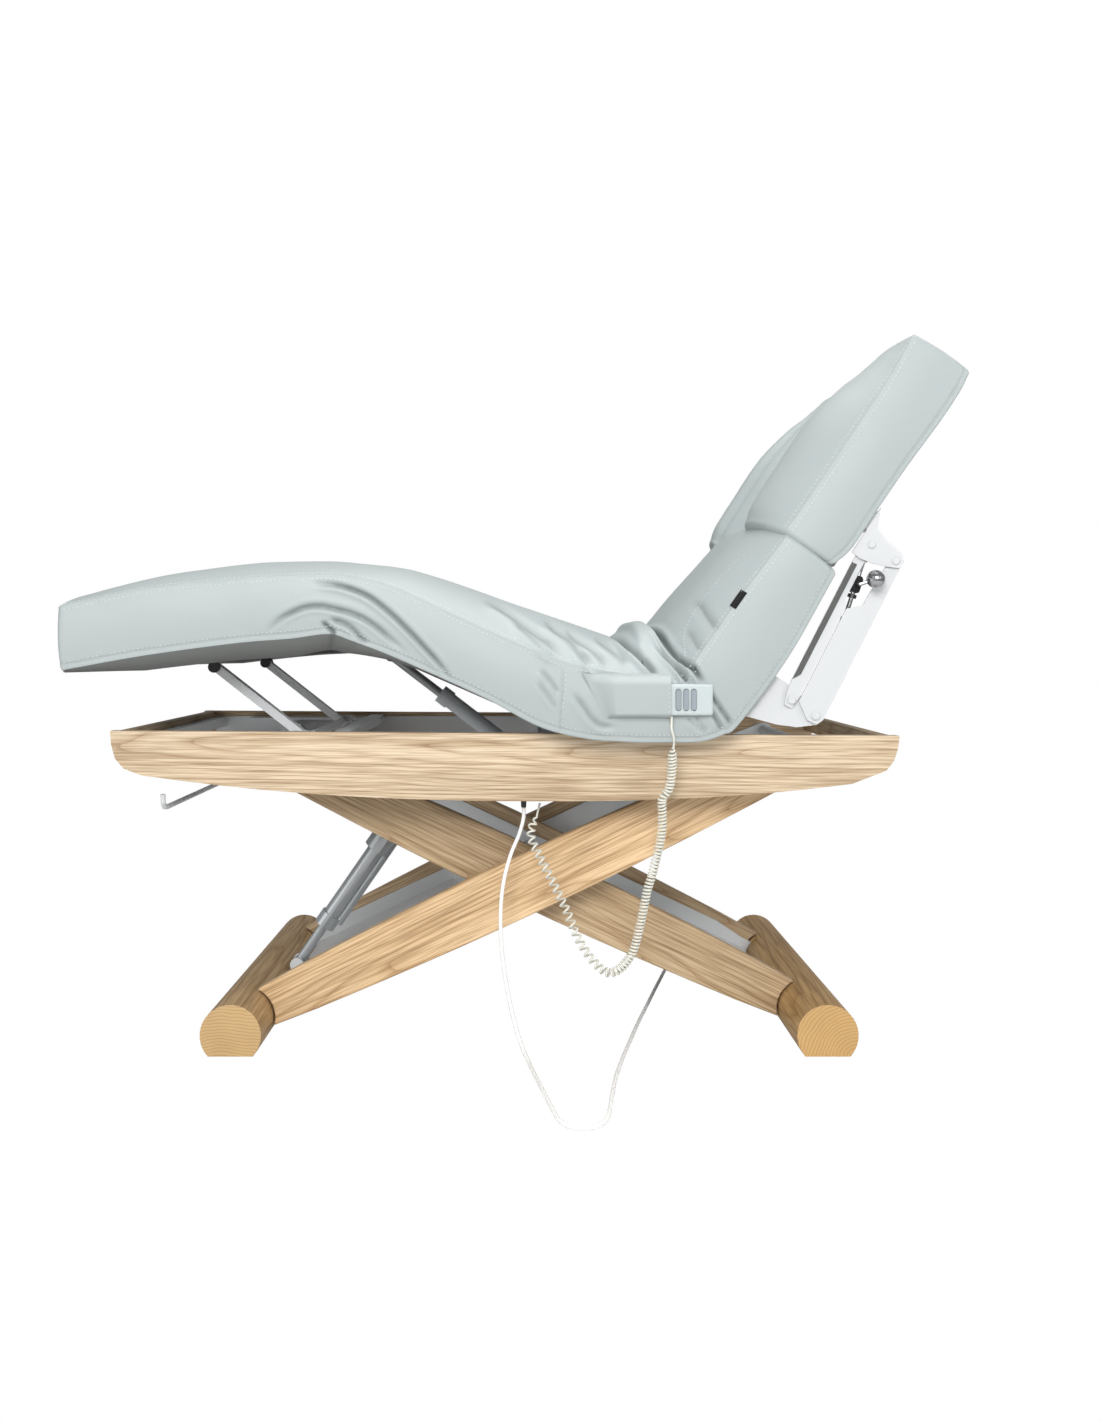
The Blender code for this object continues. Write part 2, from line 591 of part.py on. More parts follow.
# thigh: panel, leaves on the seat pin and on the knee pin, clevis for the actuator
clevis_s = (THIGH[0] - LEG_HIGH[0]) * math.cos(rad(THIGH_DEG)) + (LEG_HIGH[1] - THIGH[1]) * math.sin(rad(THIGH_DEG))
clevis_t = -(THIGH[0] - LEG_HIGH[0]) * math.sin(rad(THIGH_DEG)) + (LEG_HIGH[1] - THIGH[1]) * math.cos(rad(THIGH_DEG))
pieces = [slab("thigh_panel", thigh_pt, 0.014, THIGH_LEN - 0.014, PANEL_HALF)]
pieces += leaf(thigh_pt, 0.030, ((-0.245, -0.195), (0.195, 0.245)))
for y0, y1 in ((-0.250, -0.200), (0.200, 0.250)):
    ring = [thigh_pt(THIGH_LEN - 0.030, 0.0105), thigh_pt(THIGH_LEN - 0.030, 0.002)]
    for a in (-98, -60, -20, 20, 60, 90):
        ring.append(thigh_pt(THIGH_LEN + 0.0105 * math.cos(rad(a)), 0.0105 * math.sin(rad(a))))
    pieces.append(outline("leaf", ring, y0, y1, WHITE))
for dy in (-0.021, 0.015):
    ring = [thigh_pt(clevis_s - 0.020, 0.004), thigh_pt(clevis_s + 0.020, 0.004)]
    for i in range(7):
        a = rad(-180 * i / 6)
        ring.append(thigh_pt(clevis_s + 0.0115 * math.cos(a), clevis_t + 0.0115 * math.sin(a)))
    pieces.append(outline("clevis", ring, LEG_Y + dy, LEG_Y + dy + 0.006, WHITE))
thigh_panel = fused("thigh_panel", pieces)
thigh_panel = cut(thigh_panel, [
    across("hole", *THIGH, -0.30, 0.30, 0.0063, WHITE, 12),
    across("hole2", *KNEE, -0.30, 0.30, 0.0063, WHITE, 12),
])
knee_hinge_pin = across("knee_hinge_pin", *KNEE, -0.252, 0.252, 0.0060, ALU, 12)

pieces = [slab("calf_panel", calf_pt, 0.014, CALF_LEN - 0.006, PANEL_HALF)]
pieces += leaf(calf_pt, 0.030, ((-0.190, -0.130), (0.130, 0.190)))
calf_panel = fused("calf_panel", pieces)
calf_panel = cut(calf_panel, [across("hole", *KNEE, -0.30, 0.30, 0.0063, WHITE, 12)])

PT = PANEL_T + GAP
thigh_pad = outline("thigh_pad", [thigh_pt(*p) for p in (
    (0.006, PT), (THIGH_LEN - 0.012, PT), (THIGH_LEN - 0.012, 0.030), (THIGH_LEN - 0.003, PAD_T), (0.066, PAD_T), (0.030, 0.060))], -PAD_HALF, PAD_HALF, HIDE)
calf_pad = outline("calf_pad", [calf_pt(*p) for p in (
    (0.012, PT), (CALF_LEN, PT), (CALF_LEN, PAD_T - 0.012), (CALF_LEN - 0.012, PAD_T), (0.003, PAD_T), (0.012, 0.030))], -PAD_HALF, PAD_HALF, HIDE)

seat_z = PANEL_Z + PT
seat_pad = outline("seat_pad", [
    (THIGH[0] + 0.004, seat_z), (BACK[0] - 0.012, seat_z), (BACK[0] - 0.030, 0.632), (BACK[0] - 0.086, 0.705),
    (THIGH[0] + 0.066, 0.705), (THIGH[0] + 0.010, 0.640)], -PAD_HALF, PAD_HALF, HIDE)

# back: panel, leaves, crank for its actuator
CRANK_DEG = BACK_DEG - 34.0 - 90.0
CRANK = (BACK[0] + CRANK_R * math.cos(rad(CRANK_DEG)), BACK[1] + CRANK_R * math.sin(rad(CRANK_DEG)))
pieces = [slab("back_panel", back_pt, 0.014, BACK_LEN - 0.006, PANEL_HALF)]
pieces += leaf(back_pt, 0.030, ((-0.245, -0.195), (0.195, 0.245)))
pieces += leaf(back_pt, 0.030, ((-0.024, 0.024),))
arm = []
for i in range(7):
    a = rad(CRANK_DEG - 90 + 180 * i / 6)
    arm.append((CRANK[0] + 0.009 * math.cos(a), CRANK[1] + 0.009 * math.sin(a)))
for i in range(7):
    a = rad(CRANK_DEG + 90 + 180 * i / 6)
    arm.append((BACK[0] + 0.0103 * math.cos(a), BACK[1] + 0.0103 * math.sin(a)))
pieces.append(outline("arm", arm, -0.0035, 0.0035, WHITE))
pieces.append(across("crankpin", *CRANK, -0.019, 0.019, 0.0058, WHITE, 12))
back_panel = fused("back_panel", pieces)
back_panel = cut(back_panel, [across("hole", *BACK, -0.30, 0.30, 0.0063, WHITE, 12)])
back_pad = outline("back_pad", [back_pt(*p) for p in (
    (0.026, PT), (BACK_LEN, PT), (BACK_LEN, 0.112), (BACK_LEN - 0.012, 0.128), (0.120, 0.128), (0.062, 0.060))], -PAD_HALF, PAD_HALF, HIDE)

# white side plates under the back, each with the two lower studs of the head linkage
def sided(s, lane):
    return sorted((s * lane[0], s * lane[1]))


def stud(s, spot, inner, outer, face):
    """A pivot stud with a low dome head, from |y| inner to outer, head seated at face."""
    shank = across("shank", *back_pt(*spot), *sided(s, (inner, outer)), 0.0048, WHITE, 12)
    dome = rod("dome", (back_pt(*spot)[0], s * face, back_pt(*spot)[1]), (back_pt(*spot)[0], s * (face + 0.0035), back_pt(*spot)[1]), 0.0090, WHITE, 16, 0.0055)
    return [shank, dome]


def side_plate(name, s):
    shape = [(0.028, -0.0045), (0.118, -0.0045), (0.118, -0.040)]
    shape += [(L1[0] + 0.016 * math.cos(rad(a)), L1[1] + 0.016 * math.sin(rad(a))) for a in (30, 0)]
    shape += [(L2[0] + 0.016 * math.cos(rad(a)), L2[1] + 0.016 * math.sin(rad(a))) for a in (0, -45, -90, -135)]
    shape += [(0.062, -0.094), (0.046, -0.060)]
    plate = outline(name, [back_pt(*p) for p in shape], *sided(s, PLATE_Y), WHITE)
    tab = outline("tab", [back_pt(*p) for p in ((0.032, -0.0068), (0.114, -0.0068), (0.114, -0.0007), (0.032, -0.0007))], *sided(s, (0.2700, 0.3500)), WHITE)
    studs = stud(s, L1, 0.3490, 0.3580, 0.3571) + stud(s, L2, 0.3490, 0.3580, 0.3571)
    if s < 0:
        studs.append(across("post", *back_pt(*L2), -0.3500, -0.3330, 0.0040, WHITE, 12))
    return fused(name, [plate, tab, *studs])


back_side_plate_near = side_plate("back_side_plate_near", -1)
back_side_plate_far = side_plate("back_side_plate_far", 1)

# ---------------------------------------------------------------- head section on its parallel links
head_panel = slab("head_panel", back_pt, HEAD_S0 + 0.006, HEAD_S1 - 0.010, PANEL_HALF)
head_pad = outline("head_pad", [back_pt(*p) for p in (
    (HEAD_S0 + 0.010, PT), (HEAD_S1, PT), (HEAD_S1, 0.106), (HEAD_S1 - 0.020, 0.128), (HEAD_S0 + 0.012, 0.128), (HEAD_S0, 0.116))], -PAD_HALF, PAD_HALF, HIDE)

link_run = Vector((U1[0] - L1[0], U1[1] - L1[1]))
LINK_LEN = link_run.length
link_run.normalize()


def link_pt(foot, p, q):
    """p along a head link from its lower pivot, q to its rear side."""
    return back_pt(foot[0] + link_run.x * p + link_run.y * q, foot[1] + link_run.y * p - link_run.x * q)


def head_link(name, s, foot, shape):
    link = outline(name, [link_pt(foot, *p) for p in shape], *sided(s, LINK_Y), WHITE)
    return cut(link, [across("hole", *link_pt(foot, p, 0), *sided(s, (0.34, 0.37)), 0.0052, WHITE, 12) for p in (0, LINK_LEN)])


INNER = [(-0.013, -0.008), (0.006, -0.0130), (0.030, -0.0162), (0.272, -0.0162), (0.300, -0.0125), (LINK_LEN + 0.012, -0.007),
         (LINK_LEN + 0.012, 0.007), (0.286, 0.0095), (0.276, 0.0035), (0.205, 0.0035), (0.195, 0.0100), (0.010, 0.0100), (-0.013, 0.006)]
OUTER = [(-0.013, -0.010), (0.010, -0.0385), (0.195, -0.0385), (0.215, -0.0150), (0.276, -0.0120), (LINK_LEN + 0.010, -0.008),
         (LINK_LEN + 0.012, 0.008), (0.300, 0.0140), (0.000, 0.0150), (-0.013, 0.008)]
head_inner_link_near = head_link("head_inner_link_near", -1, L1, INNER)
head_inner_link_far = head_link("head_inner_link_far", 1, L1, INNER)
head_outer_link_near = head_link("head_outer_link_near", -1, L2, OUTER)
head_outer_link_far = head_link("head_outer_link_far", 1, L2, OUTER)


def head_bracket(name, s):
    shape = [(0.376, -0.0045), (0.470, -0.0045), (0.436, -0.020), (0.426, -0.046), (0.4225, -0.074)]
    shape += [(U2[0] + 0.0150 * math.cos(rad(a)), U2[1] + 0.0150 * math.sin(rad(a))) for a in (-20, -70, -120)]
    shape += [(0.386, -0.066), (0.379, -0.046), (0.374, -0.022)]
    face = outline(name, [back_pt(*p) for p in shape], *sided(s, BRACKET_Y), WHITE)
    tab = outline("tab", [back_pt(*p) for p in ((0.424, -0.0085), (0.462, -0.0085), (0.462, -0.0007), (0.424, -0.0007))], *sided(s, (0.2700, 0.3600)), WHITE)
    studs = stud(s, U1, 0.3520, 0.3630, 0.3612) + stud(s, U2, 0.3520, 0.3630, 0.3612)
    return fused(name, [face, tab, *studs])


head_bracket_near = head_bracket("head_bracket_near", -1)
head_bracket_far = head_bracket("head_bracket_far", 1)

# lockable gas spring on the linkage's diagonal, inside the near links, and its release lever
g0, g1 = Vector(back_pt(*L2)), Vector(back_pt(*U1))
g_dir = (g1 - g0).normalized()
g_len = (g1 - g0).length
GY = -0.3395


def spring_at(s):
    p = g0 + g_dir * s
    return (p.x, GY, p.y)


eye = across("eye", *g0, GY - 0.0045, GY + 0.0045, 0.0085, BLACK, 12)
body = rod("body", spring_at(0.004), spring_at(0.185), 0.0075, BLACK, 14)
gas_spring_tube = fused("gas_spring_tube", [body, eye])
gas_spring_tube = cut(gas_spring_tube, [
    rod("bore", spring_at(0.130), spring_at(0.195), 0.0046, BLACK, 12),
    across("hole", *g0, GY - 0.02, GY + 0.02, 0.0044, BLACK, 12),
])
end = rod("end", spring_at(g_len - 0.030), spring_at(g_len - 0.010), 0.0070, CHROME, 12)
stem = rod("stem", spring_at(0.165), spring_at(g_len - 0.020), 0.0042, CHROME, 12)
gas_spring_rod = fused("gas_spring_rod", [stem, end])

LEVER_S = 0.246
lever_p = spring_at(LEVER_S)
ball_q = link_pt(L1, 0.2565, 0.0305)
clamp = rod("clamp", spring_at(LEVER_S - 0.009), spring_at(LEVER_S + 0.009), 0.0072, CHROME, 12)
stub = rod("stub", (lever_p[0], GY - 0.003, lever_p[2]), (lever_p[0], -0.3690, lever_p[2]), 0.0038, CHROME, 12)
arm = rod("arm", (lever_p[0], -0.3665, lever_p[2]), (ball_q[0], -0.3750, ball_q[1]), 0.0034, CHROME, 12)
bpy.ops.mesh.primitive_uv_sphere_add(segments=20, ring_count=12, radius=0.0162)
ball = bpy.context.object
ball.data.transform(Matrix.Translation((ball_q[0] + XC, -0.3772, ball_q[1])))
put(ball, CHROME)
release_lever = fused("release_lever", [clamp, stub, arm, ball])
release_lever = cut(release_lever, [rod("bore", spring_at(LEVER_S - 0.03), spring_at(LEVER_S + 0.03), 0.0046, CHROME, 12)])

# ---------------------------------------------------------------- leg lifting links and actuators
link_bars = []
for s in (-1, 1):
    d = Vector((LINK_HIGH[0] - LINK_LOW[0], LINK_HIGH[1] - LINK_LOW[1])).normalized()
    n = Vector((-d.y, d.x)) * 0.0078
    a, b = Vector(LINK_LOW) - d * 0.010, Vector(LINK_HIGH) + d * 0.010
    y = sorted((s * 0.2040, s * 0.2280))
    link_bars.append(outline("bar", [tuple(a - n), tuple(b - n), tuple(b + n), tuple(a + n)], y[0], y[1], WHITE))
link_bars.append(across("tie", *LINK_LOW, -0.2430, 0.2430, 0.0080, WHITE, 12))
leg_links = fused("leg_links", link_bars)
leg_link_cap_near = across("leg_link_cap_near", *LINK_HIGH, -0.2360, -0.2284, 0.0110, BLACK, 16)
leg_link_cap_far = across("leg_link_cap_far", *LINK_HIGH, 0.2284, 0.2360, 0.0110, BLACK, 16)

l_dir = Vector((LEG_HIGH[0] - LEG_LOW[0], LEG_HIGH[1] - LEG_LOW[1]))
l_len = l_dir.length
l_dir.normalize()


def leg_at(s, off=0.0):
    return (LEG_LOW[0] + l_dir.x * s + l_dir.y * off, LEG_Y, LEG_LOW[1] + l_dir.y * s - l_dir.x * off)


pin = across("pin", *LEG_LOW, LEG_Y - 0.0235, LEG_Y + 0.0235, 0.0060, GREY, 12)
eye = across("eye", *LEG_LOW, LEG_Y - 0.0140, LEG_Y + 0.0140, 0.0115, GREY, 16)
barrel = rod("barrel", leg_at(0.004), leg_at(0.215), 0.0165, GREY, 20)
collar = rod("collar", leg_at(0.196), leg_at(0.222), 0.0195, GREY, 20)
leg_actuator_tube = fused("leg_actuator_tube", [barrel, eye, pin, collar])
leg_actuator_tube = cut(leg_actuator_tube, [rod("bore", leg_at(0.080), leg_at(0.230), 0.0098, GREY)])
eye = across("eye", *LEG_HIGH, LEG_Y - 0.0135, LEG_Y + 0.0135, 0.0090, ALU, 16)
stem = rod("stem", leg_at(0.130), leg_at(l_len - 0.002), 0.0092, ALU)
leg_actuator_rod = fused("leg_actuator_rod", [stem, eye])

# back actuator lies in the tray and pushes the crank through a yoke
barrel = rod("barrel", (0.085, 0, 0.5320), (0.255, 0, 0.5320), 0.0170, GREY, 20)
motor = rod("motor", (0.085, 0.046, 0.5300), (0.150, 0.046, 0.5300), 0.0200, GREY, 20)
joiner = block("joiner", 0.085, 0.110, 0.0, 0.046, 0.518, 0.544, GREY)
ear = block("ear", 0.078, 0.092, -0.016, 0.016, 0.517, 0.5500, GREY)
back_actuator_tube = fused("back_actuator_tube", [barrel, motor, joiner, ear])
back_actuator_tube = cut(back_actuator_tube, [rod("bore", (0.112, 0, 0.5320), (0.270, 0, 0.5320), 0.0098, GREY)])
stem = rod("stem", (0.185, 0, 0.5320), (CRANK[0] - 0.024, 0, 0.5320), 0.0090, ALU)
bridge = block("bridge", CRANK[0] - 0.030, CRANK[0] - 0.0220, -0.020, 0.020, 0.5220, 0.5420, ALU)
tines = [block("tine", CRANK[0] - 0.025, CRANK[0] + 0.0105, *sorted((s * 0.0090, s * 0.0200)), 0.5185, 0.5455, ALU) for s in (-1, 1)]
back_actuator_rod = fused("back_actuator_rod", [stem, bridge, *tines])
back_actuator_rod = cut(back_actuator_rod, [block("slot", CRANK[0] - 0.0085, CRANK[0] + 0.0200, -0.05, 0.05, 0.500, 0.560, ALU)])

# ---------------------------------------------------------------- handset on the near side of the seat
HS_X0, HS_X1, HS_Z0, HS_Z1 = 0.1580, 0.3250, 0.6120, 0.6670
HS_Y = -0.3885
handset_shell = block("handset_shell", HS_X0, HS_X1, HS_Y, -PAD_HALF - GAP, HS_Z0, HS_Z1, SHELL, 0.004)
keys, wells = [], []
for i in range(3):
    cx = 0.2640 + i * 0.0135
    def oval(r, h):
        pts = [(cx + r * math.cos(rad(a)), 0.6395 + h + r * math.sin(rad(a))) for a in (0, 36, 72, 108, 144, 180)]
        return pts + [(cx + r * math.cos(rad(a)), 0.6395 - h + r * math.sin(rad(a))) for a in (180, 216, 252, 288, 324, 360)]
    keys.append(outline(f"handset_key_{i + 1}", oval(0.0046, 0.0140), HS_Y - 0.0018, HS_Y + 0.0016, KEY))
    wells.append(outline("well", oval(0.0052, 0.0146), HS_Y - 0.01, HS_Y + 0.0040, KEY))
handset_shell = cut(handset_shell, wells)

# ---------------------------------------------------------------- cords
# curly lead: out of the pocket under the handset, down in a loop, back up to the outlet
curly_route = [
    (0.2530, -0.3825, 0.6100), (0.2525, -0.3832, 0.5897), (0.2571, -0.3800, 0.5702), (0.2572, -0.3725, 0.5556),
    (0.2558, -0.3680, 0.5413), (0.2558, -0.3620, 0.5190), (0.2539, -0.3570, 0.4925), (0.2495, -0.3550, 0.4754),
    (0.2411, -0.3540, 0.4656), (0.2390, -0.3510, 0.4553), (0.2399, -0.3490, 0.4380), (0.2401, -0.3470, 0.4143),
    (0.2380, -0.3460, 0.3911), (0.2324, -0.3455, 0.3655), (0.2274, -0.3450, 0.3448), (0.2214, -0.3445, 0.3210),
    (0.2132, -0.3440, 0.2937), (0.2019, -0.3425, 0.2381), (0.1884, -0.3410, 0.1869), (0.1670, -0.3390, 0.1561),
    (0.1456, -0.3370, 0.1462), (0.1242, -0.3340, 0.1594), (0.1028, -0.3310, 0.1851), (0.0863, -0.3280, 0.2141),
    (0.0700, -0.3240, 0.2544), (0.0536, -0.3190, 0.2880), (0.0373, -0.3130, 0.3195), (0.0208, -0.3060, 0.3510),
    (0.0080, -0.2990, 0.3770), (0.0058, -0.2930, 0.3960), (0.0150, -0.2840, 0.4180), (0.0220, -0.2800, 0.4440),
]
curly_cord = tube("curly_cord", smooth(curly_route, 64), CURLY_D, CREAM, 2)

# mains lead: hangs in front of the beams, runs out on the floor and back under the bed
FLOOR = CORD_D / 2 + 0.0004
COIL = (0.400, 0.425)
COIL_R0, COIL_R1, COIL_H = 0.0310, 0.0470, 0.0150
mains_route = [
    (-0.0080, -0.2800, 0.4355), (-0.0085, -0.2805, 0.4150), (-0.0170, -0.2850, 0.3850), (-0.0320, -0.2920, 0.3500),
    (-0.0450, -0.2980, 0.3000), (-0.0500, -0.3030, 0.2450), (-0.0480, -0.3090, 0.1850), (-0.0400, -0.3170, 0.1250),
    (-0.0280, -0.3300, 0.0700), (-0.0140, -0.3560, 0.0290), (0.0000, -0.3950, 0.0095), (0.0120, -0.4500, FLOOR),
    (0.0220, -0.5050, FLOOR), (0.0320, -0.5600, FLOOR), (0.0410, -0.6080, FLOOR), (0.0500, -0.6440, FLOOR),
    (0.0680, -0.6660, FLOOR), (0.0920, -0.6690, FLOOR), (0.1130, -0.6540, FLOOR), (0.1250, -0.6220, FLOOR),
    (0.1340, -0.5600, FLOOR), (0.1470, -0.4700, FLOOR), (0.1650, -0.3800, FLOOR), (0.1880, -0.2800, FLOOR),
    (0.2140, -0.1700, FLOOR), (0.2420, -0.0600, FLOOR), (0.2700, 0.0500, FLOOR), (0.2960, 0.1500, FLOOR),
    (0.3190, 0.2400, FLOOR), (0.3370, 0.3150, FLOOR), (0.3470, 0.3750, FLOOR),
    (COIL[0] - COIL_R1 - 0.0041, COIL[1] - 0.0040, FLOOR),
]
mains_cord = tube("mains_cord", smooth(mains_route, 84), CORD_D, CREAM, 2)

# the tied coil, as a turned ring
profile = bpy.data.meshes.new("mains_coil")
coil = bpy.data.objects.new("mains_coil", profile)
bm = bmesh.new()
corner = [(COIL_R1, COIL_H), (COIL_R1, 0.0006), (COIL_R0, 0.0006), (COIL_R0, COIL_H)]
ring = [bm.verts.new((r, 0, z)) for r, z in corner]
for a, b in zip(ring, ring[1:] + ring[:1]):
    bm.edges.new((a, b))
bm.to_mesh(profile)
bm.free()
put(coil, CREAM)
turn = coil.modifiers.new("turn", "SCREW")
turn.angle = 2 * math.pi
turn.steps = turn.render_steps = 28
turn.use_merge_vertices = True
turn.merge_threshold = 0.0001
coil.location = (COIL[0] + XC, COIL[1], 0)
bpy.context.view_layer.update()
mains_coil = realised(coil)

plug_x, plug_y, plug_z = COIL[0] + 0.004, COIL[1] + 0.004, COIL_H + 0.0005
plug_body = block("plug", plug_x - 0.020, plug_x + 0.014, plug_y - 0.013, plug_y + 0.013, plug_z, plug_z + 0.024, BLACK, 0.004)
plug_tail = rod("tail", (plug_x - 0.052, plug_y, plug_z + 0.010), (plug_x - 0.018, plug_y, plug_z + 0.012), 0.0045, BLACK, 12, 0.0085)
pins = [rod("pin", (plug_x + 0.010, plug_y + dy, plug_z + 0.012), (plug_x + 0.032, plug_y + dy, plug_z + 0.012), 0.0024, CHROME, 10) for dy in (-0.0095, 0.0095)]
mains_plug = fused("mains_plug", [plug_body, plug_tail, *pins])

# ---------------------------------------------------------------- bodies, each under an empty on its joint axis
def at(p, y=0.0):
    return (p[0] + XC, y, p[1])


BODIES = {
    "base": (at(PR), [foot_log_right, mains_cord, mains_coil, mains_plug]),
    "tray": (at((0.0, 0.0)), [tray_board_near, tray_board_far, tray_board_foot, tray_board_head, tray_chassis,
                              thigh_hinge_pin, back_hinge_pin, seat_board, seat_pad, control_box, cord_outlet,
                              paper_roll_bar, back_actuator_tube, handset_shell, curly_cord]),
    "beam_b": (at(PR), [beam_b_near, beam_b_far, beam_b_steel, lift_roller_axle]),
    "beam_a": (at(MID), [beam_a_near, beam_a_far, beam_a_steel, scissor_pivot_shaft]),
    "foot_left": (at(PL), [foot_log_left]),
    "lift_rod": (at(LIFT_LOW), [lift_actuator_rod]),
    "lift_tube": (at(LIFT_LOW), [lift_actuator_tube]),
    "thigh": (at(THIGH), [thigh_panel, thigh_pad, knee_hinge_pin]),
    "calf": (at(KNEE), [calf_panel, calf_pad]),
    "leg_links": (at(LINK_LOW), [leg_links, leg_link_cap_near, leg_link_cap_far]),
    "leg_tube": (at(LEG_LOW), [leg_actuator_tube]),
    "leg_rod": (at(LEG_LOW), [leg_actuator_rod]),
    "back": (at(BACK), [back_panel, back_pad, back_side_plate_near, back_side_plate_far]),
    "back_rod": (at(CRANK), [back_actuator_rod]),
    "inner_link": (at(back_pt(*L1)), [head_inner_link_near, head_inner_link_far]),
    "outer_link": (at(back_pt(*L2)), [head_outer_link_near, head_outer_link_far]),
    "head": (at(back_pt(*U1)), [head_panel, head_pad, head_bracket_near, head_bracket_far]),
    "gas_tube": (at(back_pt(*L2)), [gas_spring_tube]),
    "gas_rod": (at(back_pt(*L2)), [gas_spring_rod]),
    "lever": (at((lever_p[0], lever_p[2])), [release_lever]),
    "key_1": (at((0.2640, 0.6395), HS_Y), [keys[0]]),
    "key_2": (at((0.2775, 0.6395), HS_Y), [keys[1]]),
    "key_3": (at((0.2910, 0.6395), HS_Y), [keys[2]]),
}
for name, (place, members) in BODIES.items():
    empty = bpy.data.objects.new(f"body_{name}", None)
    empty.location = place
    parts.objects.link(empty)
    bpy.context.view_layer.update()
    for obj in members:
        obj.parent = empty
        obj.matrix_parent_inverse = empty.matrix_world.inverted()
        if obj.type == "MESH":
            obj.data.shade_smooth()
            obj.data.set_sharp_from_angle(angle=rad(35))
bpy.context.view_layer.update()
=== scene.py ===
import math
import random

import bmesh
import bpy
import numpy as np
from mathutils import Matrix, Vector, noise
from mathutils.bvhtree import BVHTree


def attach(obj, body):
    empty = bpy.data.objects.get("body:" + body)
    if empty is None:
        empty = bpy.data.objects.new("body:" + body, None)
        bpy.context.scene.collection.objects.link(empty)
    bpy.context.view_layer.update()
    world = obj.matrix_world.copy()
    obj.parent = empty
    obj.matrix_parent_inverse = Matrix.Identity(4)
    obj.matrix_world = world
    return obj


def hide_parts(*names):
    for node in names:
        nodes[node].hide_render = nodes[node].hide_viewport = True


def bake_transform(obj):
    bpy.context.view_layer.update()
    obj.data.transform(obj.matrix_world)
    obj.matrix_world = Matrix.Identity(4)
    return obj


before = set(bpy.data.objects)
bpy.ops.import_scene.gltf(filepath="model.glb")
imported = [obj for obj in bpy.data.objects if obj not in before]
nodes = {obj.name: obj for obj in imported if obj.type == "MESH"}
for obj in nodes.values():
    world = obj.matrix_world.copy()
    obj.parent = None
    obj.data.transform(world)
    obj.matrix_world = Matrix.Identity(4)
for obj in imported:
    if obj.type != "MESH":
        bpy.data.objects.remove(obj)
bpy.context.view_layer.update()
rad = math.radians

# ---------------------------------------------------------------- camera and its pixels
XC = 0.0334
F, VPU, VPV = 1180.0, 528.0, 642.0
CAM_Y, CAM_Z = -2.458, 0.741
NEAR = -0.3725


def at(u, v, y=NEAR):
    """The place at depth y that the photograph shows at pixel u, v, as (x, z)."""
    d = (y - CAM_Y) / F
    return (XC + (u - VPU) * d, CAM_Z - (v - VPV) * d)


cam = bpy.data.objects.new("camera", bpy.data.cameras.new("camera"))
bpy.context.scene.collection.objects.link(cam)
cam.location = (XC, CAM_Y, CAM_Z)
cam.rotation_euler = (math.pi / 2, 0, 0)
cam.data.sensor_width = 36
cam.data.sensor_fit = "AUTO"
cam.data.lens = F / 1422 * 36
cam.data.shift_x = (550 - VPU) / 1422
cam.data.shift_y = -(711 - VPV) / 1422
cam.data.clip_start = 0.05
bpy.context.scene.camera = cam

# ---------------------------------------------------------------- light
world = bpy.data.worlds.new("studio")
bpy.context.scene.world = world
world.use_nodes = True
wn, wl = world.node_tree.nodes, world.node_tree.links
wn.clear()
out = wn.new("ShaderNodeOutputWorld")
mix = wn.new("ShaderNodeMixShader")
path = wn.new("ShaderNodeLightPath")
white = wn.new("ShaderNodeBackground")
white.inputs["Color"].default_value = (1, 1, 1, 1)
white.inputs["Strength"].default_value = 1.0
fill = wn.new("ShaderNodeBackground")
fill.inputs["Strength"].default_value = 0.66
sky = wn.new("ShaderNodeTexCoord")
height = wn.new("ShaderNodeSeparateXYZ")
wl.new(sky.outputs["Generated"], height.inputs["Vector"])
half_up = wn.new("ShaderNodeMath")
half_up.operation = "MULTIPLY_ADD"
half_up.inputs[1].default_value = 0.5
half_up.inputs[2].default_value = 0.5
wl.new(height.outputs["Z"], half_up.inputs[0])
shades = wn.new("ShaderNodeValToRGB")
for stop, grey in ((0.0, 0.20), (0.48, 0.35), (0.56, 0.95), (0.72, 0.90), (1.0, 0.60)):
    element = shades.color_ramp.elements[0] if stop == 0 else shades.color_ramp.elements[1] if stop == 1 else shades.color_ramp.elements.new(stop)
    element.position = stop
    element.color = (0.96 * grey, 0.985 * grey, grey, 1)
wl.new(half_up.outputs[0], shades.inputs["Fac"])
wl.new(shades.outputs["Color"], fill.inputs["Color"])
wl.new(path.outputs["Is Camera Ray"], mix.inputs["Fac"])
wl.new(fill.outputs["Background"], mix.inputs[1])
wl.new(white.outputs["Background"], mix.inputs[2])
wl.new(mix.outputs["Shader"], out.inputs["Surface"])


def area(name, place, aim, size, power):
    data = bpy.data.lights.new(name, "AREA")
    data.shape = "RECTANGLE"
    data.size, data.size_y = size
    data.energy = power
    light = bpy.data.objects.new(name, data)
    bpy.context.scene.collection.objects.link(light)
    light.location = place
    light.rotation_euler = (Vector(aim) - Vector(place)).to_track_quat("-Z", "Y").to_euler()
    return light


area("key_light", (-0.5, -3.6, 2.5), (0, 0, 0.6), (2.2, 1.8), 122)
area("top_light", (0.4, 0.3, 3.4), (0, 0, 0.6), (2.6, 1.8), 56)
area("side_light", (2.8, -2.0, 1.6), (0.1, 0, 0.6), (1.6, 1.8), 29)
area("low_light", (-2.8, -1.7, 0.70), (-0.1, 0, 0.62), (1.4, 0.9), 12)
bpy.context.scene.view_settings.view_transform = "Standard"

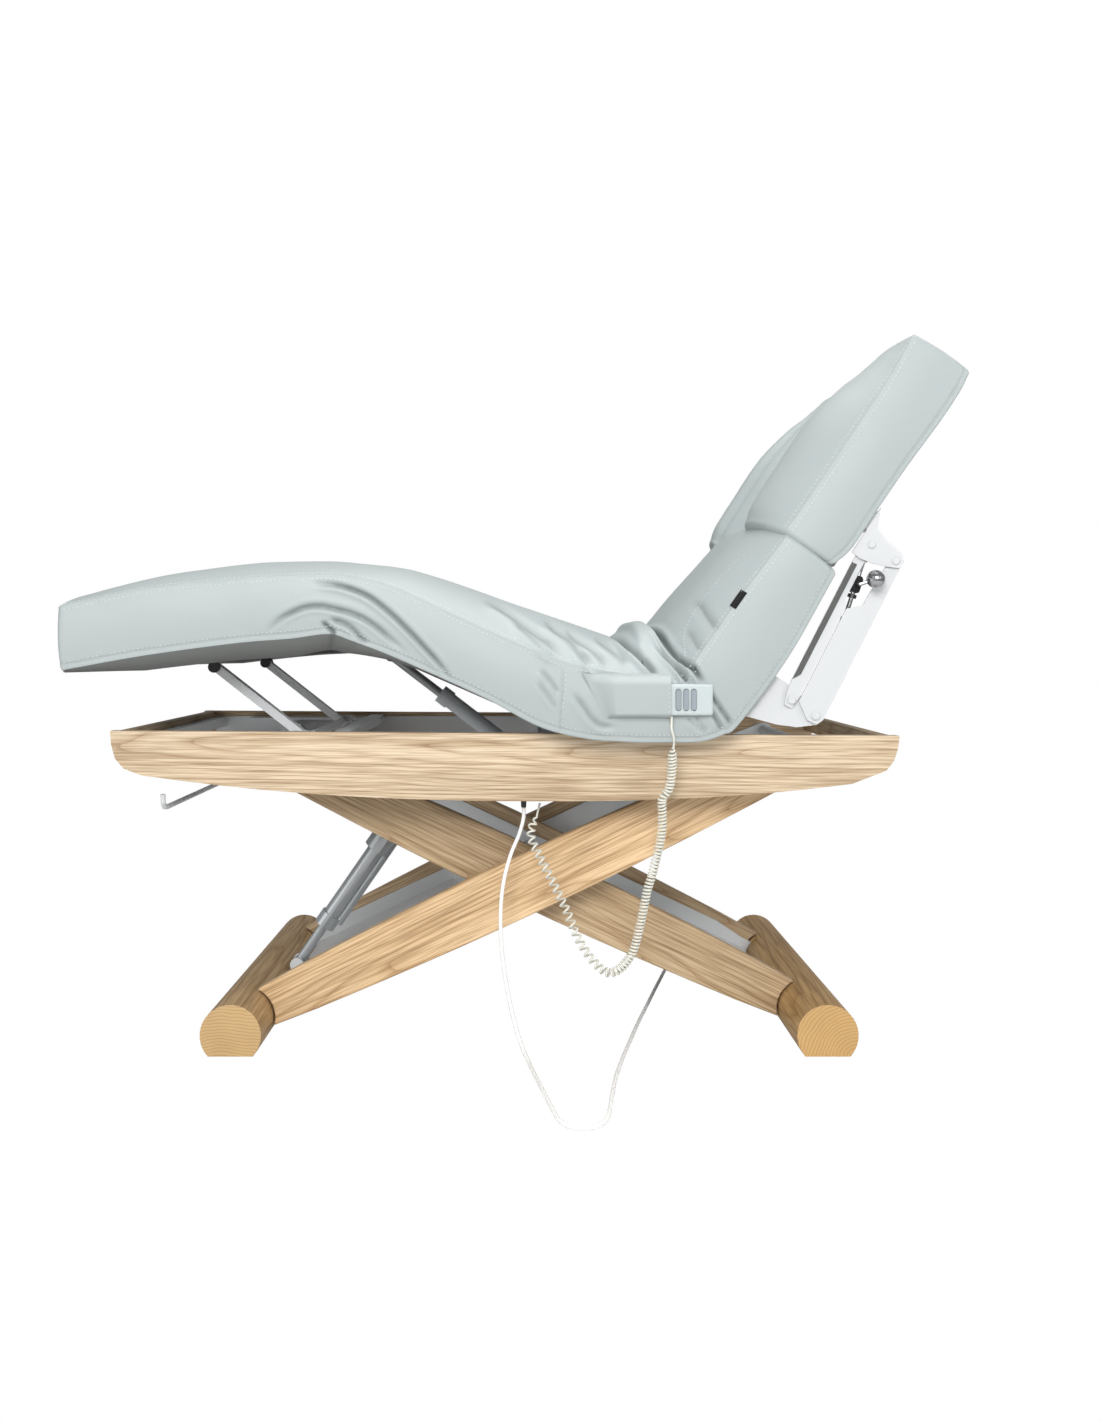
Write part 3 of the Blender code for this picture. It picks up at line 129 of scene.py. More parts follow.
bpy.ops.mesh.primitive_plane_add(size=24, location=(0, 4, -0.0005))
floor = bpy.context.object
floor.name = "studio_floor"
paper = bpy.data.materials.new("paper")
paper.use_nodes = True
pn, pl = paper.node_tree.nodes, paper.node_tree.links
pn.clear()
p_out = pn.new("ShaderNodeOutputMaterial")
p_mix = pn.new("ShaderNodeMixShader")
p_path = pn.new("ShaderNodeLightPath")
p_lit = pn.new("ShaderNodeBsdfDiffuse")
p_lit.inputs["Color"].default_value = (0.72, 0.72, 0.72, 1)
p_white = pn.new("ShaderNodeEmission")
p_white.inputs["Strength"].default_value = 1.0
pl.new(p_path.outputs["Is Camera Ray"], p_mix.inputs["Fac"])
pl.new(p_lit.outputs["BSDF"], p_mix.inputs[1])
pl.new(p_white.outputs["Emission"], p_mix.inputs[2])
pl.new(p_mix.outputs["Shader"], p_out.inputs["Surface"])
floor.data.materials.append(paper)


# ---------------------------------------------------------------- materials
def shader(name, colour, roughness, metallic=0.0, **more):
    mat = bpy.data.materials.new(name)
    mat.use_nodes = True
    bsdf = mat.node_tree.nodes["Principled BSDF"]
    bsdf.inputs["Base Color"].default_value = (*colour, 1)
    bsdf.inputs["Roughness"].default_value = roughness
    bsdf.inputs["Metallic"].default_value = metallic
    for key, value in more.items():
        bsdf.inputs[key.replace("_", " ")].default_value = value
    return mat


def wood(name, turn, centre, side=1.0, lean=(2.2, 1.4), end=None, tint=(1, 1, 1)):
    """Plain-sawn oak: growth rings round an axis that leans a little off the board's length, so the faces show
    straight grain and arches. turn is the grain's tilt from X, or 'y'; end is the tone of the end grain."""
    mat = shader(name, (0.6, 0.42, 0.24), 0.48)
    n, l = mat.node_tree.nodes, mat.node_tree.links
    bsdf = n["Principled BSDF"]
    coord = n.new("ShaderNodeTexCoord")

    def mapping(source, location=(0, 0, 0), rotation=(0, 0, 0), scale=(1, 1, 1)):
        node = n.new("ShaderNodeMapping")
        node.vector_type = "POINT"
        node.inputs["Location"].default_value = location
        node.inputs["Rotation"].default_value = rotation
        node.inputs["Scale"].default_value = scale
        l.new(source, node.inputs["Vector"])
        return node.outputs["Vector"]

    def noisy(source, scale, detail=2.0):
        node = n.new("ShaderNodeTexNoise")
        node.inputs["Scale"].default_value = 1.0
        node.inputs["Detail"].default_value = detail
        l.new(mapping(source, scale=scale), node.inputs["Vector"])
        return node.outputs["Fac"]

    def maths(op, a, b=None):
        node = n.new("ShaderNodeMath")
        node.operation = op
        for i, x in enumerate((a, b)):
            if x is None:
                continue
            if isinstance(x, (int, float)):
                node.inputs[i].default_value = x
            else:
                l.new(x, node.inputs[i])
        return node.outputs[0]

    def ramp(source, *stops):
        node = n.new("ShaderNodeValToRGB")
        while len(node.color_ramp.elements) < len(stops):
            node.color_ramp.elements.new(0.5)
        for element, (place, colour) in zip(node.color_ramp.elements, stops):
            element.position = place
            element.color = (*colour, 1)
        l.new(source, node.inputs["Fac"])
        return node.outputs["Color"]

    def times(a, b):
        node = n.new("ShaderNodeMix")
        node.data_type = "RGBA"
        node.blend_type = "MULTIPLY"
        node.inputs["Factor"].default_value = 1.0
        l.new(a, node.inputs[6])
        l.new(b, node.inputs[7])
        return node.outputs[2]

    here = mapping(coord.outputs["Object"], location=[-c for c in centre])
    grain = mapping(here, rotation=(0, 0, -math.pi / 2) if turn == "y" else (0, rad(turn), 0))
    leaning = mapping(grain, rotation=(0, rad(lean[1]), rad(lean[0])))
    wander = noisy(grain, (1.5, 9.0, 9.0), 3.0)
    ripple = noisy(grain, (7.0, 34.0, 34.0), 2.0)
    split = n.new("ShaderNodeSeparateXYZ")
    l.new(leaning, split.inputs["Vector"])
    ring = maths("SQRT", maths("ADD", maths("MULTIPLY", split.outputs["Y"], split.outputs["Y"]),
                               maths("MULTIPLY", split.outputs["Z"], split.outputs["Z"])))
    ring = maths("ADD", ring, maths("MULTIPLY", maths("SUBTRACT", wander, 0.5), 0.030))
    ring = maths("ADD", ring, maths("MULTIPLY", maths("SUBTRACT", ripple, 0.5), 0.0030))
    bands = maths("FRACT", maths("MULTIPLY", ring, 165.0))
    def tone_of(r, g, b, k=side):
        return (r * k * tint[0], g * k * tint[1], b * k * tint[2])

    base = ramp(bands,
                (0.00, tone_of(0.400, 0.262, 0.140)), (0.08, tone_of(0.500, 0.355, 0.212)),
                (0.26, tone_of(0.605, 0.455, 0.290)), (0.72, tone_of(0.630, 0.480, 0.312)),
                (1.00, tone_of(0.535, 0.388, 0.238)))
    pores = noisy(grain, (11.0, 520.0, 520.0), 2.0)
    colour = times(base, ramp(pores, (0.36, (0.70, 0.655, 0.60)), (0.55, (1, 1, 1))))
    streaks = noisy(grain, (4.0, 150.0, 150.0), 3.0)
    colour = times(colour, ramp(streaks, (0.38, (0.80, 0.75, 0.68)), (0.53, (1.05, 1.05, 1.05))))
    tone = noisy(grain, (1.3, 13.0, 13.0), 2.0)
    colour = times(colour, ramp(tone, (0.25, (0.86, 0.83, 0.79)), (0.72, (1.07, 1.06, 1.05))))
    if end:
        facing = n.new("ShaderNodeSeparateXYZ")
        l.new(coord.outputs["Normal"], facing.inputs["Vector"])
        face = maths("GREATER_THAN", maths("ABSOLUTE", facing.outputs["Y"]), 0.6)
        node = n.new("ShaderNodeMix")
        node.data_type = "RGBA"
        l.new(face, node.inputs[0])
        l.new(colour, node.inputs[6])
        l.new(times(ramp(bands, (0.0, tone_of(0.36, 0.235, 0.115, end)), (0.22, tone_of(0.565, 0.41, 0.235, end)),
                         (0.80, tone_of(0.60, 0.445, 0.265, end)), (1.0, tone_of(0.54, 0.385, 0.215, end))),
                    ramp(tone, (0.25, (0.92, 0.90, 0.88)), (0.72, (1.03, 1.03, 1.02)))), node.inputs[7])
        colour = node.outputs[2]
    l.new(colour, bsdf.inputs["Base Color"])
    bump = n.new("ShaderNodeBump")
    bump.inputs["Strength"].default_value = 0.15
    bump.inputs["Distance"].default_value = 0.0006
    l.new(pores, bump.inputs["Height"])
    l.new(bump.outputs["Normal"], bsdf.inputs["Normal"])
    return mat


def hide(name, colour):
    """Smooth leatherette with a fine pebble, darkened by painted shade in the creases of the folds."""
    mat = shader(name, colour, 0.47)
    n, l = mat.node_tree.nodes, mat.node_tree.links
    bsdf = n["Principled BSDF"]
    fold = n.new("ShaderNodeAttribute")
    fold.attribute_name = "fold_shade"
    # painted shade: the colour falls to half where fold_shade is 1, in the creases of the folds
    crease_shade = n.new("ShaderNodeMix")
    crease_shade.data_type = "RGBA"
    crease_shade.inputs[6].default_value = (*colour, 1)
    crease_shade.inputs[7].default_value = (*(0.50 * c for c in colour), 1)
    l.new(fold.outputs["Fac"], crease_shade.inputs[0])
    l.new(crease_shade.outputs[2], bsdf.inputs["Base Color"])
    coord = n.new("ShaderNodeTexCoord")
    cells = n.new("ShaderNodeTexVoronoi")
    cells.inputs["Scale"].default_value = 620.0
    l.new(coord.outputs["Object"], cells.inputs["Vector"])
    soft = n.new("ShaderNodeTexNoise")
    soft.inputs["Scale"].default_value = 16.0
    soft.inputs["Detail"].default_value = 3.0
    l.new(coord.outputs["Object"], soft.inputs["Vector"])
    bump = n.new("ShaderNodeBump")
    bump.inputs["Strength"].default_value = 0.10
    bump.inputs["Distance"].default_value = 0.0004
    l.new(cells.outputs["Distance"], bump.inputs["Height"])
    broad = n.new("ShaderNodeBump")
    broad.inputs["Strength"].default_value = 0.10
    broad.inputs["Distance"].default_value = 0.010
    l.new(soft.outputs["Fac"], broad.inputs["Height"])
    l.new(bump.outputs["Normal"], broad.inputs["Normal"])
    l.new(broad.outputs["Normal"], bsdf.inputs["Normal"])
    return mat


LEATHER = hide("leatherette", (0.385, 0.425, 0.422))
STITCH = shader("thread", (0.56, 0.60, 0.595), 0.7)
TAG = shader("tag", (0.006, 0.006, 0.006), 0.9)
# painted shade: a dark grey standing in for the shade under the pads, on their undersides and the panels below them
UNDERSIDE_SHADE = shader("underside_painted_shade", (0.120, 0.125, 0.120), 0.8)
WHITE = shader("white_paint", (0.600, 0.612, 0.620), 0.40)
STEEL = shader("bright_steel", (0.72, 0.73, 0.74), 0.28, 1.0)
ALU = shader("brushed_aluminium", (0.42, 0.44, 0.45), 0.38, 0.7)
GREY = shader("actuator_grey", (0.34, 0.36, 0.37), 0.42)
TUBE = shader("actuator_tube", (0.66, 0.70, 0.73), 0.30)
CHROME = shader("mirror_chrome", (0.42, 0.42, 0.43), 0.12, 1.0)
BLACK = shader("black_plastic", (0.016, 0.016, 0.017), 0.45)
SHELL = shader("handset_white", (0.50, 0.555, 0.555), 0.40)
KEY = shader("handset_key", (0.27, 0.30, 0.33), 0.5)
CREAM = shader("cream_pvc", (0.72, 0.71, 0.63), 0.40)
LEAD = shader("white_pvc", (0.90, 0.90, 0.885), 0.40)
BOARD = shader("panel_board", (0.62, 0.62, 0.61), 0.6)

BEAM_TILT = 25.197


def paint(mat, *names):
    for name in names:
        data = nodes[name].data
        data.materials.clear()
        data.materials.append(mat)


paint(wood("oak_tray_near", 0, (-0.05, -0.285, 0.548), 1.0, (1.6, -0.6), tint=(1.08, 1.16, 1.30)), "tray_board_near")
paint(wood("oak_tray_far", 0, (0.15, 0.280, 0.545), 0.92, (-1.8, 0.7)), "tray_board_far")
paint(wood("oak_ends", "y", (0, 0.1, 0.53), 0.80), "tray_board_foot", "tray_board_head")
paint(wood("oak_a_near", BEAM_TILT, (0.20, -0.215, 0.330), 1.10, (1.9, 0.9), tint=(1.09, 1.04, 0.96)), "beam_a_near")
paint(wood("oak_a_far", BEAM_TILT, (-0.1, 0.215, 0.30), 0.92, (-1.7, 0.6)), "beam_a_far")
paint(wood("oak_b_near", -BEAM_TILT, (-0.05, -0.160, 0.275), 0.84, (-2.0, 1.0), tint=(1.03, 1.02, 0.98)), "beam_b_near")
paint(wood("oak_b_far", -BEAM_TILT, (0.1, 0.160, 0.30), 0.88, (1.8, -0.8)), "beam_b_far")
paint(wood("oak_log_left", "y", (-0.532 + XC - 0.004, 0, -0.30), 0.74, (0.8, 0.8), 0.92, (1.06, 0.97, 0.78)), "foot_log_left")
paint(wood("oak_log_right", "y", (0.536 + XC + 0.055, 0, -0.012), 0.70, (0.8, -0.8), 0.92, (1.12, 0.96, 0.66)), "foot_log_right")
paint(WHITE, "beam_a_steel", "beam_b_steel", "tray_chassis", "paper_roll_bar", "leg_links", "back_side_plate_near",
      "back_side_plate_far", "head_inner_link_near", "head_inner_link_far", "head_outer_link_near",
      "head_outer_link_far", "head_bracket_near", "head_bracket_far")
paint(BOARD, "seat_board", "back_panel", "head_panel")
# the panels under the thigh and calf take the same painted underside shade
paint(UNDERSIDE_SHADE, "thigh_panel", "calf_panel")
paint(GREY, "back_actuator_tube", "control_box")
paint(TUBE, "leg_actuator_tube")
paint(ALU, "lift_actuator_tube", "lift_actuator_rod", "leg_actuator_rod", "back_actuator_rod")
paint(STEEL, "scissor_pivot_shaft", "lift_roller_axle", "thigh_hinge_pin", "back_hinge_pin", "knee_hinge_pin")
paint(CHROME, "gas_spring_rod", "release_lever")
paint(BLACK, "gas_spring_tube", "leg_link_cap_near", "leg_link_cap_far", "cord_outlet", "mains_plug")
paint(SHELL, "handset_shell")
paint(KEY, "handset_key_1", "handset_key_2", "handset_key_3")
for name in ("foot_log_left", "foot_log_right", "release_lever", "lift_actuator_tube", "lift_actuator_rod",
             "leg_actuator_tube", "leg_actuator_rod", "scissor_pivot_shaft", "gas_spring_rod", "gas_spring_tube"):
    nodes[name].data.shade_smooth()
    nodes[name].data.set_sharp_from_angle(angle=rad(35))


# ---------------------------------------------------------------- curves through measured points
def spline(points, t):
    """Catmull-Rom through points, t from 0 to len - 1."""
    i = min(int(t), len(points) - 2)
    u = t - i
    p = [Vector(q) for q in points]
    p1, p2 = p[i], p[i + 1]
    p0 = p[i - 1] if i else p1 * 2 - p2
    p3 = p[i + 2] if i + 2 < len(p) else p2 * 2 - p1
    return 0.5 * (2 * p1 + (p2 - p0) * u + (2 * p0 - 5 * p1 + 4 * p2 - p3) * u * u + (3 * p1 - p0 - 3 * p2 + p3) * u ** 3)


def spaced(points, step):
    """Points on the curve through points, step apart."""
    fine = [spline(points, k / 20) for k in range(20 * (len(points) - 1) + 1)]
    got, left = [fine[0]], step
    for a, b in zip(fine, fine[1:]):
        d = (b - a).length
        while d >= left and d > 0:
            a = a + (b - a) * (left / d)
            got.append(a)
            d -= left
            left = step
        left -= d
    if (got[-1] - fine[-1]).length > step * 0.3:
        got.append(fine[-1])
    else:
        got[-1] = fine[-1]
    return got


HALF = 0.3725

# the long pad, from the foot end to the top of the back: underside, side seam and middle of the crown, in pixels
LONG = [
    ((62, 670), (61, 607), (62, 590)),
    ((143, 655.5), (143, 590), (141, 569)),
    ((236, 643), (236, 580), (235, 556), (236, 642)),
    ((290, 638.5), (287, 577), (287, 554), (288, 635)),
    ((328, 634), (334, 576), (336, 555), (328, 631)),
    ((352, 641), (384, 585), (391, 561)),
    ((390, 655.5), (420, 600), (430, 571)),
    ((436, 676), (460, 619), (471, 585)),
    ((488, 700), (511, 642), (523, 603)),
    ((539, 727), (563, 663), (573, 620)),
    ((585, 739), (598, 671), (603, 630.5)),
    ((620, 742), (622, 675), (624, 637)),
    ((640, 743), (638, 678), (636.5, 630)),
    ((654, 743), (650, 680), (643.5, 620.5)),
    ((674, 743), (664, 682.5), (654, 619)),
    ((702, 742), (682, 684), (664, 627)),
    ((724, 735), (693, 671), (674, 621)),
    ((740, 724), (702, 655), (682, 612)),
    ((790, 656), (740, 602), (711, 578)),
    ((836, 575), (788, 538), (764, 519)),
]
B_PTS = [at(*k[0]) for k in LONG]
S_PTS = [at(*k[1]) for k in LONG]
C_PTS = [at(*k[2]) for k in LONG]
# how far the under-edge of the calf and knee, painted dark as shade, hangs below the hem
LIP = [0.005, 0.027, 0.031, 0.033, 0.029, 0.025, 0.009] + [0.0] * (len(LONG) - 7)
U_PTS = [at(*(k[3] if len(k) > 3 else k[0])) for k in LONG]  # the underside away from the skirt


def creases(table):
    """Lines given in pixels on the near side, as evenly spaced points in metres."""
    return [(np.array([tuple(p) for p in spaced([at(*q) for q in pts], 0.004)]), depth, width, reach, ridge)
            for pts, depth, width, reach, ridge in table]


# folds in the cover: where they run on the near side, how deep, how wide, how far in from the edge they reach, and
# the side that swells, 1 to the left of the line's run and -1 to its right
FOLDS = creases([
    # gathers at the knee
    (((312, 583), (333, 584.5), (354, 590), (371, 598), (389, 612), (405, 627), (421, 643.5), (437, 661), (448, 675), (455, 684)),
     0.0105, 0.0044, 0.08, -0.7),
    (((264, 635), (272, 626), (282, 617.5), (295, 611), (306, 607), (320, 606), (334, 608.5), (348, 612), (362, 617.5),
      (376, 626.5), (390, 638.5), (407, 652.5)), 0.0088, 0.0048, 0.08, -0.5),
    (((327, 619), (341, 622), (352, 628.5), (361, 638), (370, 645)), 0.0085, 0.0046, 0.08, -0.5),
    (((321, 621), (327, 626), (332, 631), (332, 638)), 0.0110, 0.0048, 0.08, 0),
    # thigh, running into the seam
    (((481, 597), (498, 605.5), (512, 614.5), (525.5, 624.5), (539.5, 635), (552.5, 645.5), (565, 657.5)), 0.0065, 0.0062, 0.45, -1),
    (((511, 620.5), (524, 630), (537, 641.5), (548.5, 652), (560, 660)), 0.0055, 0.0055, 0.25, -1),
    (((543.5, 618), (556, 628), (569, 637.5), (579, 648), (587.5, 661), (592, 666.5)), 0.0070, 0.0068, 0.50, -1),
    (((566, 627.5), (583, 641.5), (594.5, 649.5), (603, 658.5), (609, 666.5)), 0.0055, 0.0060, 0.40, -1),
    (((598, 636.5), (611.5, 647), (622.5, 656), (630.5, 665)), 0.0050, 0.0065, 0.40, -1),
    # side of the seat
    (((541, 669), (548.5, 679), (555, 688), (558.5, 694.5)), 0.0038, 0.0042, 0.03, -1),
    (((537, 681.5), (544.5, 692), (552, 702), (557.5, 710)), 0.0032, 0.0042, 0.03, -1),
    (((572.5, 691.5), (583, 706), (592, 718.5), (602, 725.5), (618, 726.5)), 0.0052, 0.0056, 0.03, -1),
    (((583, 670), (590.5, 680.5), (598, 693), (604.5, 706), (609.5, 717.5), (613, 722)), 0.0060, 0.0056, 0.03, 1),
    (((563, 664), (563, 689), (560.5, 715), (560.5, 740)), 0.0026, 0.0022, 0.01, 0),
    (((670.5, 674), (670.5, 704), (670.5, 738)), 0.0026, 0.0022, 0.01, 0),
    # waist
    (((620, 633), (626, 640), (632, 647), (640, 654), (648, 663), (655, 671.5), (658, 676)), 0.0130, 0.0058, 1.0, -1),
    (((658, 618), (664, 627), (668, 634), (672, 645), (678, 655), (685, 662), (693, 667.5), (698.5, 675), (704, 684)),
     0.0195, 0.0048, 1.0, -1),
    (((661, 645), (667.5, 655), (675.5, 664), (682, 672.5), (690, 685)), 0.0110, 0.0042, 0.35, -1),
    (((685, 664), (690, 673), (695, 684)), 0.0040, 0.0032, 0.10, 0),
    (((692, 629), (696, 642), (701, 651)), 0.0040, 0.0090, 0.40, 0),
    (((704, 598), (709, 614), (717, 632)), 0.0045, 0.0090, 0.40, 0),
    (((709, 692), (714.5, 700.5), (720, 708), (726.5, 717), (734, 727)), 0.0095, 0.0042, 0.08, -1),
    (((711, 712), (716, 719), (722, 731)), 0.0072, 0.0040, 0.08, -1),
    (((686, 717), (693, 722.5), (701, 730), (706, 733)), 0.0045, 0.0045, 0.08, -1),
    (((694, 714), (699.5, 722), (707, 731)), 0.0035, 0.0040, 0.08, -1),
])


def fold_depth(x, z, a, folds):
    """How far the cover is drawn in at x, z, a being how near the edge it is, 0 in the middle and 1 at the side."""
    got = np.zeros_like(x)
    for line, depth, width, reach, ridge in folds:
        lo, hi = line.min(0) - 4.5 * width, line.max(0) + 4.5 * width
        here = np.nonzero((x > lo[0]) & (x < hi[0]) & (z > lo[1]) & (z < hi[1]))
        if not len(here[0]):
            continue
        start, run = line[:-1], line[1:] - line[:-1]
        rel = np.stack((x[here], z[here]), -1)[:, None, :] - start[None]
        t = np.clip((rel * run).sum(-1) / (run ** 2).sum(-1), 0, 1)
        gap = ((rel - t[..., None] * run) ** 2).sum(-1)
        row, k = np.arange(len(gap)), gap.argmin(1)
        w = np.sqrt(gap[row, k]) / width
        left = np.sign(run[k, 0] * rel[row, k, 1] - run[k, 1] * rel[row, k, 0])
        along = (k + t[row, k]) / len(run)
        taper = np.clip(np.minimum(0.12 + along / 0.25, 0.10 + (1 - along) / 0.25), 0, 1)
        taper = taper * taper * (3 - 2 * taper)
        fade = np.clip(1 - (1 - reach - a[here]) / 0.25, 0, 1)
        groove = 0.62 * np.exp(-1.7 * w) + 0.38 * np.exp(-w * w)
        swell = np.exp(-((w - 2.1) / 0.9) ** 2) * np.where(left * ridge > 0, 0.52 * abs(ridge), 0.10)
        got[here] += depth * taper * fade * (groove - swell)
    return got


def ring_points(b, s, c, lobes, under=None, lip=0.0):
    """One cross-section: (across, place, nearness to the edge, part), going round from the middle of the underside."""
    b, s, c = Vector(b), Vector(s), Vector(c)
    up = (s - b).normalized()
    height = (s - b).length
    half = HALF
    got = []
    for a in (0.0, 0.35, 0.7, 0.885, 0.905, 0.965):
        low = b - up * lip if a > 0.9 or under is None else Vector(under)
        got.append((a * half, low + up * (0.004 if a < 0.95 else 0.0), a, 0))
    # side panel, drawn in at the hem and at the seam
    for k in range(0, 41):
        u = k / 40
        d = u * height
        bulge = 0.0055 * math.sin(math.pi * u) - 0.0022 * math.exp(-((d - 0.0085) / 0.0028) ** 2) - 0.003 * (1 - u) ** 6
        got.append((half - 0.0030 + bulge, b + up * (d * (height - 0.0035) / height), 1.0, 1))
    got.append((half - 0.0040, s - up * 0.0008, 1.0, 1))
    for k in range(0, 57):
        a = 1 - (k / 56) ** 1.4
        h = 1 - a ** 4.2
        if lobes:
            h *= 1 - lobes * math.exp(-((a / 0.46) ** 4)) - 0.10 * lobes * math.exp(-(((a - 0.48) / 0.03) ** 2))
        got.append((a * (half - 0.0032), s + up * (0.0026 * a) + (c - s) * h, a, 2))
    return got


def loft(name, stations, cap_start, cap_end, folds, lobes=0.0, wobble=0.0012):
    """A padded mesh through stations of (underside, seam, crown), rounded off at its closed ends and flat where the
    next length of the pad goes on."""
    places, edges, parts, inward = [], [], [], []
    for b, s, c, *rest in stations:
        half = ring_points(b, s, c, lobes, *rest)
        full = [(*q, -1) for q in half] + [(*q, 1) for q in half[-2:0:-1]]
        down = Vector((b[0] - c[0], 0, b[1] - c[1])).normalized()
        for y, p, a, part, side in full:
            places.append((p[0], y * side, p[1]))
            edges.append(a)
            parts.append(part)
            if part == 1:
                inward.append((0, -side, 0))
            elif a > 0.9:
                inward.append(tuple((down + Vector((0, -side, 0))).normalized()))
            else:
                inward.append(tuple(down))
    places, edges, parts, inward = np.array(places), np.array(edges), np.array(parts), np.array(inward)
    deep = fold_depth(places[:, 0], places[:, 2], edges, folds) * (parts > 0)
    places += inward * deep[:, None]
    uneven = np.array([noise.noise(Vector(p) * 9.0) + 0.35 * noise.noise(Vector(p) * 23.0) for p in places]) * wobble
    places -= inward * (uneven * (parts > 0))[:, None]
    count = len(stations)
    size = len(places) // count
    verts = [tuple(p) for p in places]
    ring = [list(range(i * size, (i + 1) * size)) for i in range(count)]
    faces, shaded_under = [], []

    def face(*loop):
        loop = [v for i, v in enumerate(loop) if v not in loop[:i]]
        if len(loop) > 2:
            faces.append(loop)
            shaded_under.append(False)

    for r0, r1 in zip(ring, ring[1:]):
        for j in range(size):
            face(r0[j], r0[(j + 1) % size], r1[(j + 1) % size], r1[j])
            shaded_under[-1] = parts[j] == 0 or parts[(j + 1) % size] == 0
    crisp = set()
    for end, loop, nxt in ((cap_start, ring[0], ring[1]), (cap_end, ring[-1], ring[-2])):
        middle = places[loop].mean(0)
        out = places[loop[0]] - places[nxt[0]]
        out[1] = 0
        out /= np.linalg.norm(out)
        d = places[loop] - middle
        tall = np.sqrt(d[:, 0] ** 2 + d[:, 2] ** 2).max()
        last = loop
        for inset, push in ((0.0015, 0.0035), (0.005, 0.0070), (0.011, 0.0100), (0.020, 0.0120), (0.036, 0.0134)) if end else ():
            shrink = np.array((1 - inset / tall, 1 - inset / HALF, 1 - inset / tall))
            new = list(range(len(verts), len(verts) + size))
            verts += [tuple(p) for p in middle + d * shrink + out * push]
            for j in range(size):
                face(last[j], last[(j + 1) % size], new[(j + 1) % size], new[j])
            last = new
        # close across: one face over the stepped underside, then pairs of the two sides
        flank = [j for j in range(size // 2) if parts[loop[j]] == 1]
        up = places[loop[flank[-1]]] - places[loop[flank[0]]]
        up[1] = 0
        rise = d @ (up / np.linalg.norm(up))
        low = next((j for j in flank if rise[j] > rise[:flank[0]].max() + 0.001), flank[-1])
        face(*(last[j] for j in range(-low, low + 1)))
        for j in range(low, size // 2):
            face(last[j], last[j + 1], last[(size - j - 1) % size], last[(size - j) % size])
        if not end:
            crisp.update(loop)
    mesh = bpy.data.meshes.new(name)
    mesh.from_pydata(verts, [], faces)
    for material in (LEATHER, STITCH, UNDERSIDE_SHADE):
        mesh.materials.append(material)
    # painted shade for the creases: fold_shade grows with how far a fold draws the cover in, full at 8.5 mm
    shade = mesh.attributes.new("fold_shade", "FLOAT", "POINT")
    shade.data.foreach_set("value", list(np.clip(deep / 0.0085, 0, 1)) + [0.0] * (len(verts) - len(deep)))
    # painted shade: the faces of the underside take the dark underside material
    mesh.polygons.foreach_set("material_index", [2 if q else 0 for q in shaded_under])
    bm = bmesh.new()
    bm.from_mesh(mesh)
    bmesh.ops.recalc_face_normals(bm, faces=bm.faces)
    bm.to_mesh(mesh)
    bm.free()
    mesh.shade_smooth()
    for edge in mesh.edges:
        if edge.vertices[0] in crisp and edge.vertices[1] in crisp:
            edge.use_edge_sharp = True
    obj = bpy.data.objects.new(name, mesh)
    bpy.context.scene.collection.objects.link(obj)
    return obj


def dashes(obj, lines, dash=0.0052, gap=0.0030, thick=0.0011):
    """Thread along lines of (place, outward) pairs, added to obj's mesh as short raised stitches."""
    bm = bmesh.new()
    bm.from_mesh(obj.data)
    surface = BVHTree.FromBMesh(bm)
    for line in lines:
        pts, outs = [], []
        for p, o in line:
            found = surface.find_nearest(p)
            pts.append(found[0])
            outs.append(found[1] if found[1].dot(o) > 0 else o)
        lengths = [0.0]
        for a, b in zip(pts, pts[1:]):
            lengths.append(lengths[-1] + (b - a).length)

        def spot(d):
            for i in range(len(lengths) - 1):
                if d <= lengths[i + 1]:
                    u = (d - lengths[i]) / max(lengths[i + 1] - lengths[i], 1e-9)
                    return pts[i].lerp(pts[i + 1], u), outs[i].lerp(outs[i + 1], u).normalized()
            return pts[-1], outs[-1]

        d = 0.002
        while d + dash < lengths[-1]:
            p0, o0 = spot(d)
            p1, o1 = spot(d + dash)
            along = (p1 - p0).normalized()
            o = ((o0 + o1) / 2).normalized()
            side = along.cross(o).normalized() * (thick / 2)
            sections = []
            for q, lift, wide in ((p0, -0.0003, 0.55), (p0.lerp(p1, 0.22), 0.0007, 1.0), (p0.lerp(p1, 0.78), 0.0007, 1.0), (p1, -0.0003, 0.55)):
                top, low = q + o * lift, q - o * 0.0009
                sections.append([bm.verts.new(top - side * wide), bm.verts.new(top + side * wide),
                                 bm.verts.new(low + side * wide), bm.verts.new(low - side * wide)])
            made = [bm.faces.new(sections[0]), bm.faces.new(sections[-1][::-1])]
            for r0, r1 in zip(sections, sections[1:]):
                for m in range(4):
                    made.append(bm.faces.new((r0[m], r1[m], r1[(m + 1) % 4], r0[(m + 1) % 4])))
            bmesh.ops.recalc_face_normals(bm, faces=made)
            for face in made:
                face.material_index = 1
                face.smooth = True
            d += dash + gap
    bm.to_mesh(obj.data)
    bm.free()


# ---------------------------------------------------------------- the long pad, in three lengths that meet on the panels
def long_station(t):
    return (tuple(spline(B_PTS, t)), tuple(spline(S_PTS, t)), tuple(spline(C_PTS, t)))


def long_section(t):
    i = min(int(t), len(LIP) - 2)
    return (*long_station(t), tuple(spline(U_PTS, t)), LIP[i] + (LIP[i + 1] - LIP[i]) * (t - i))


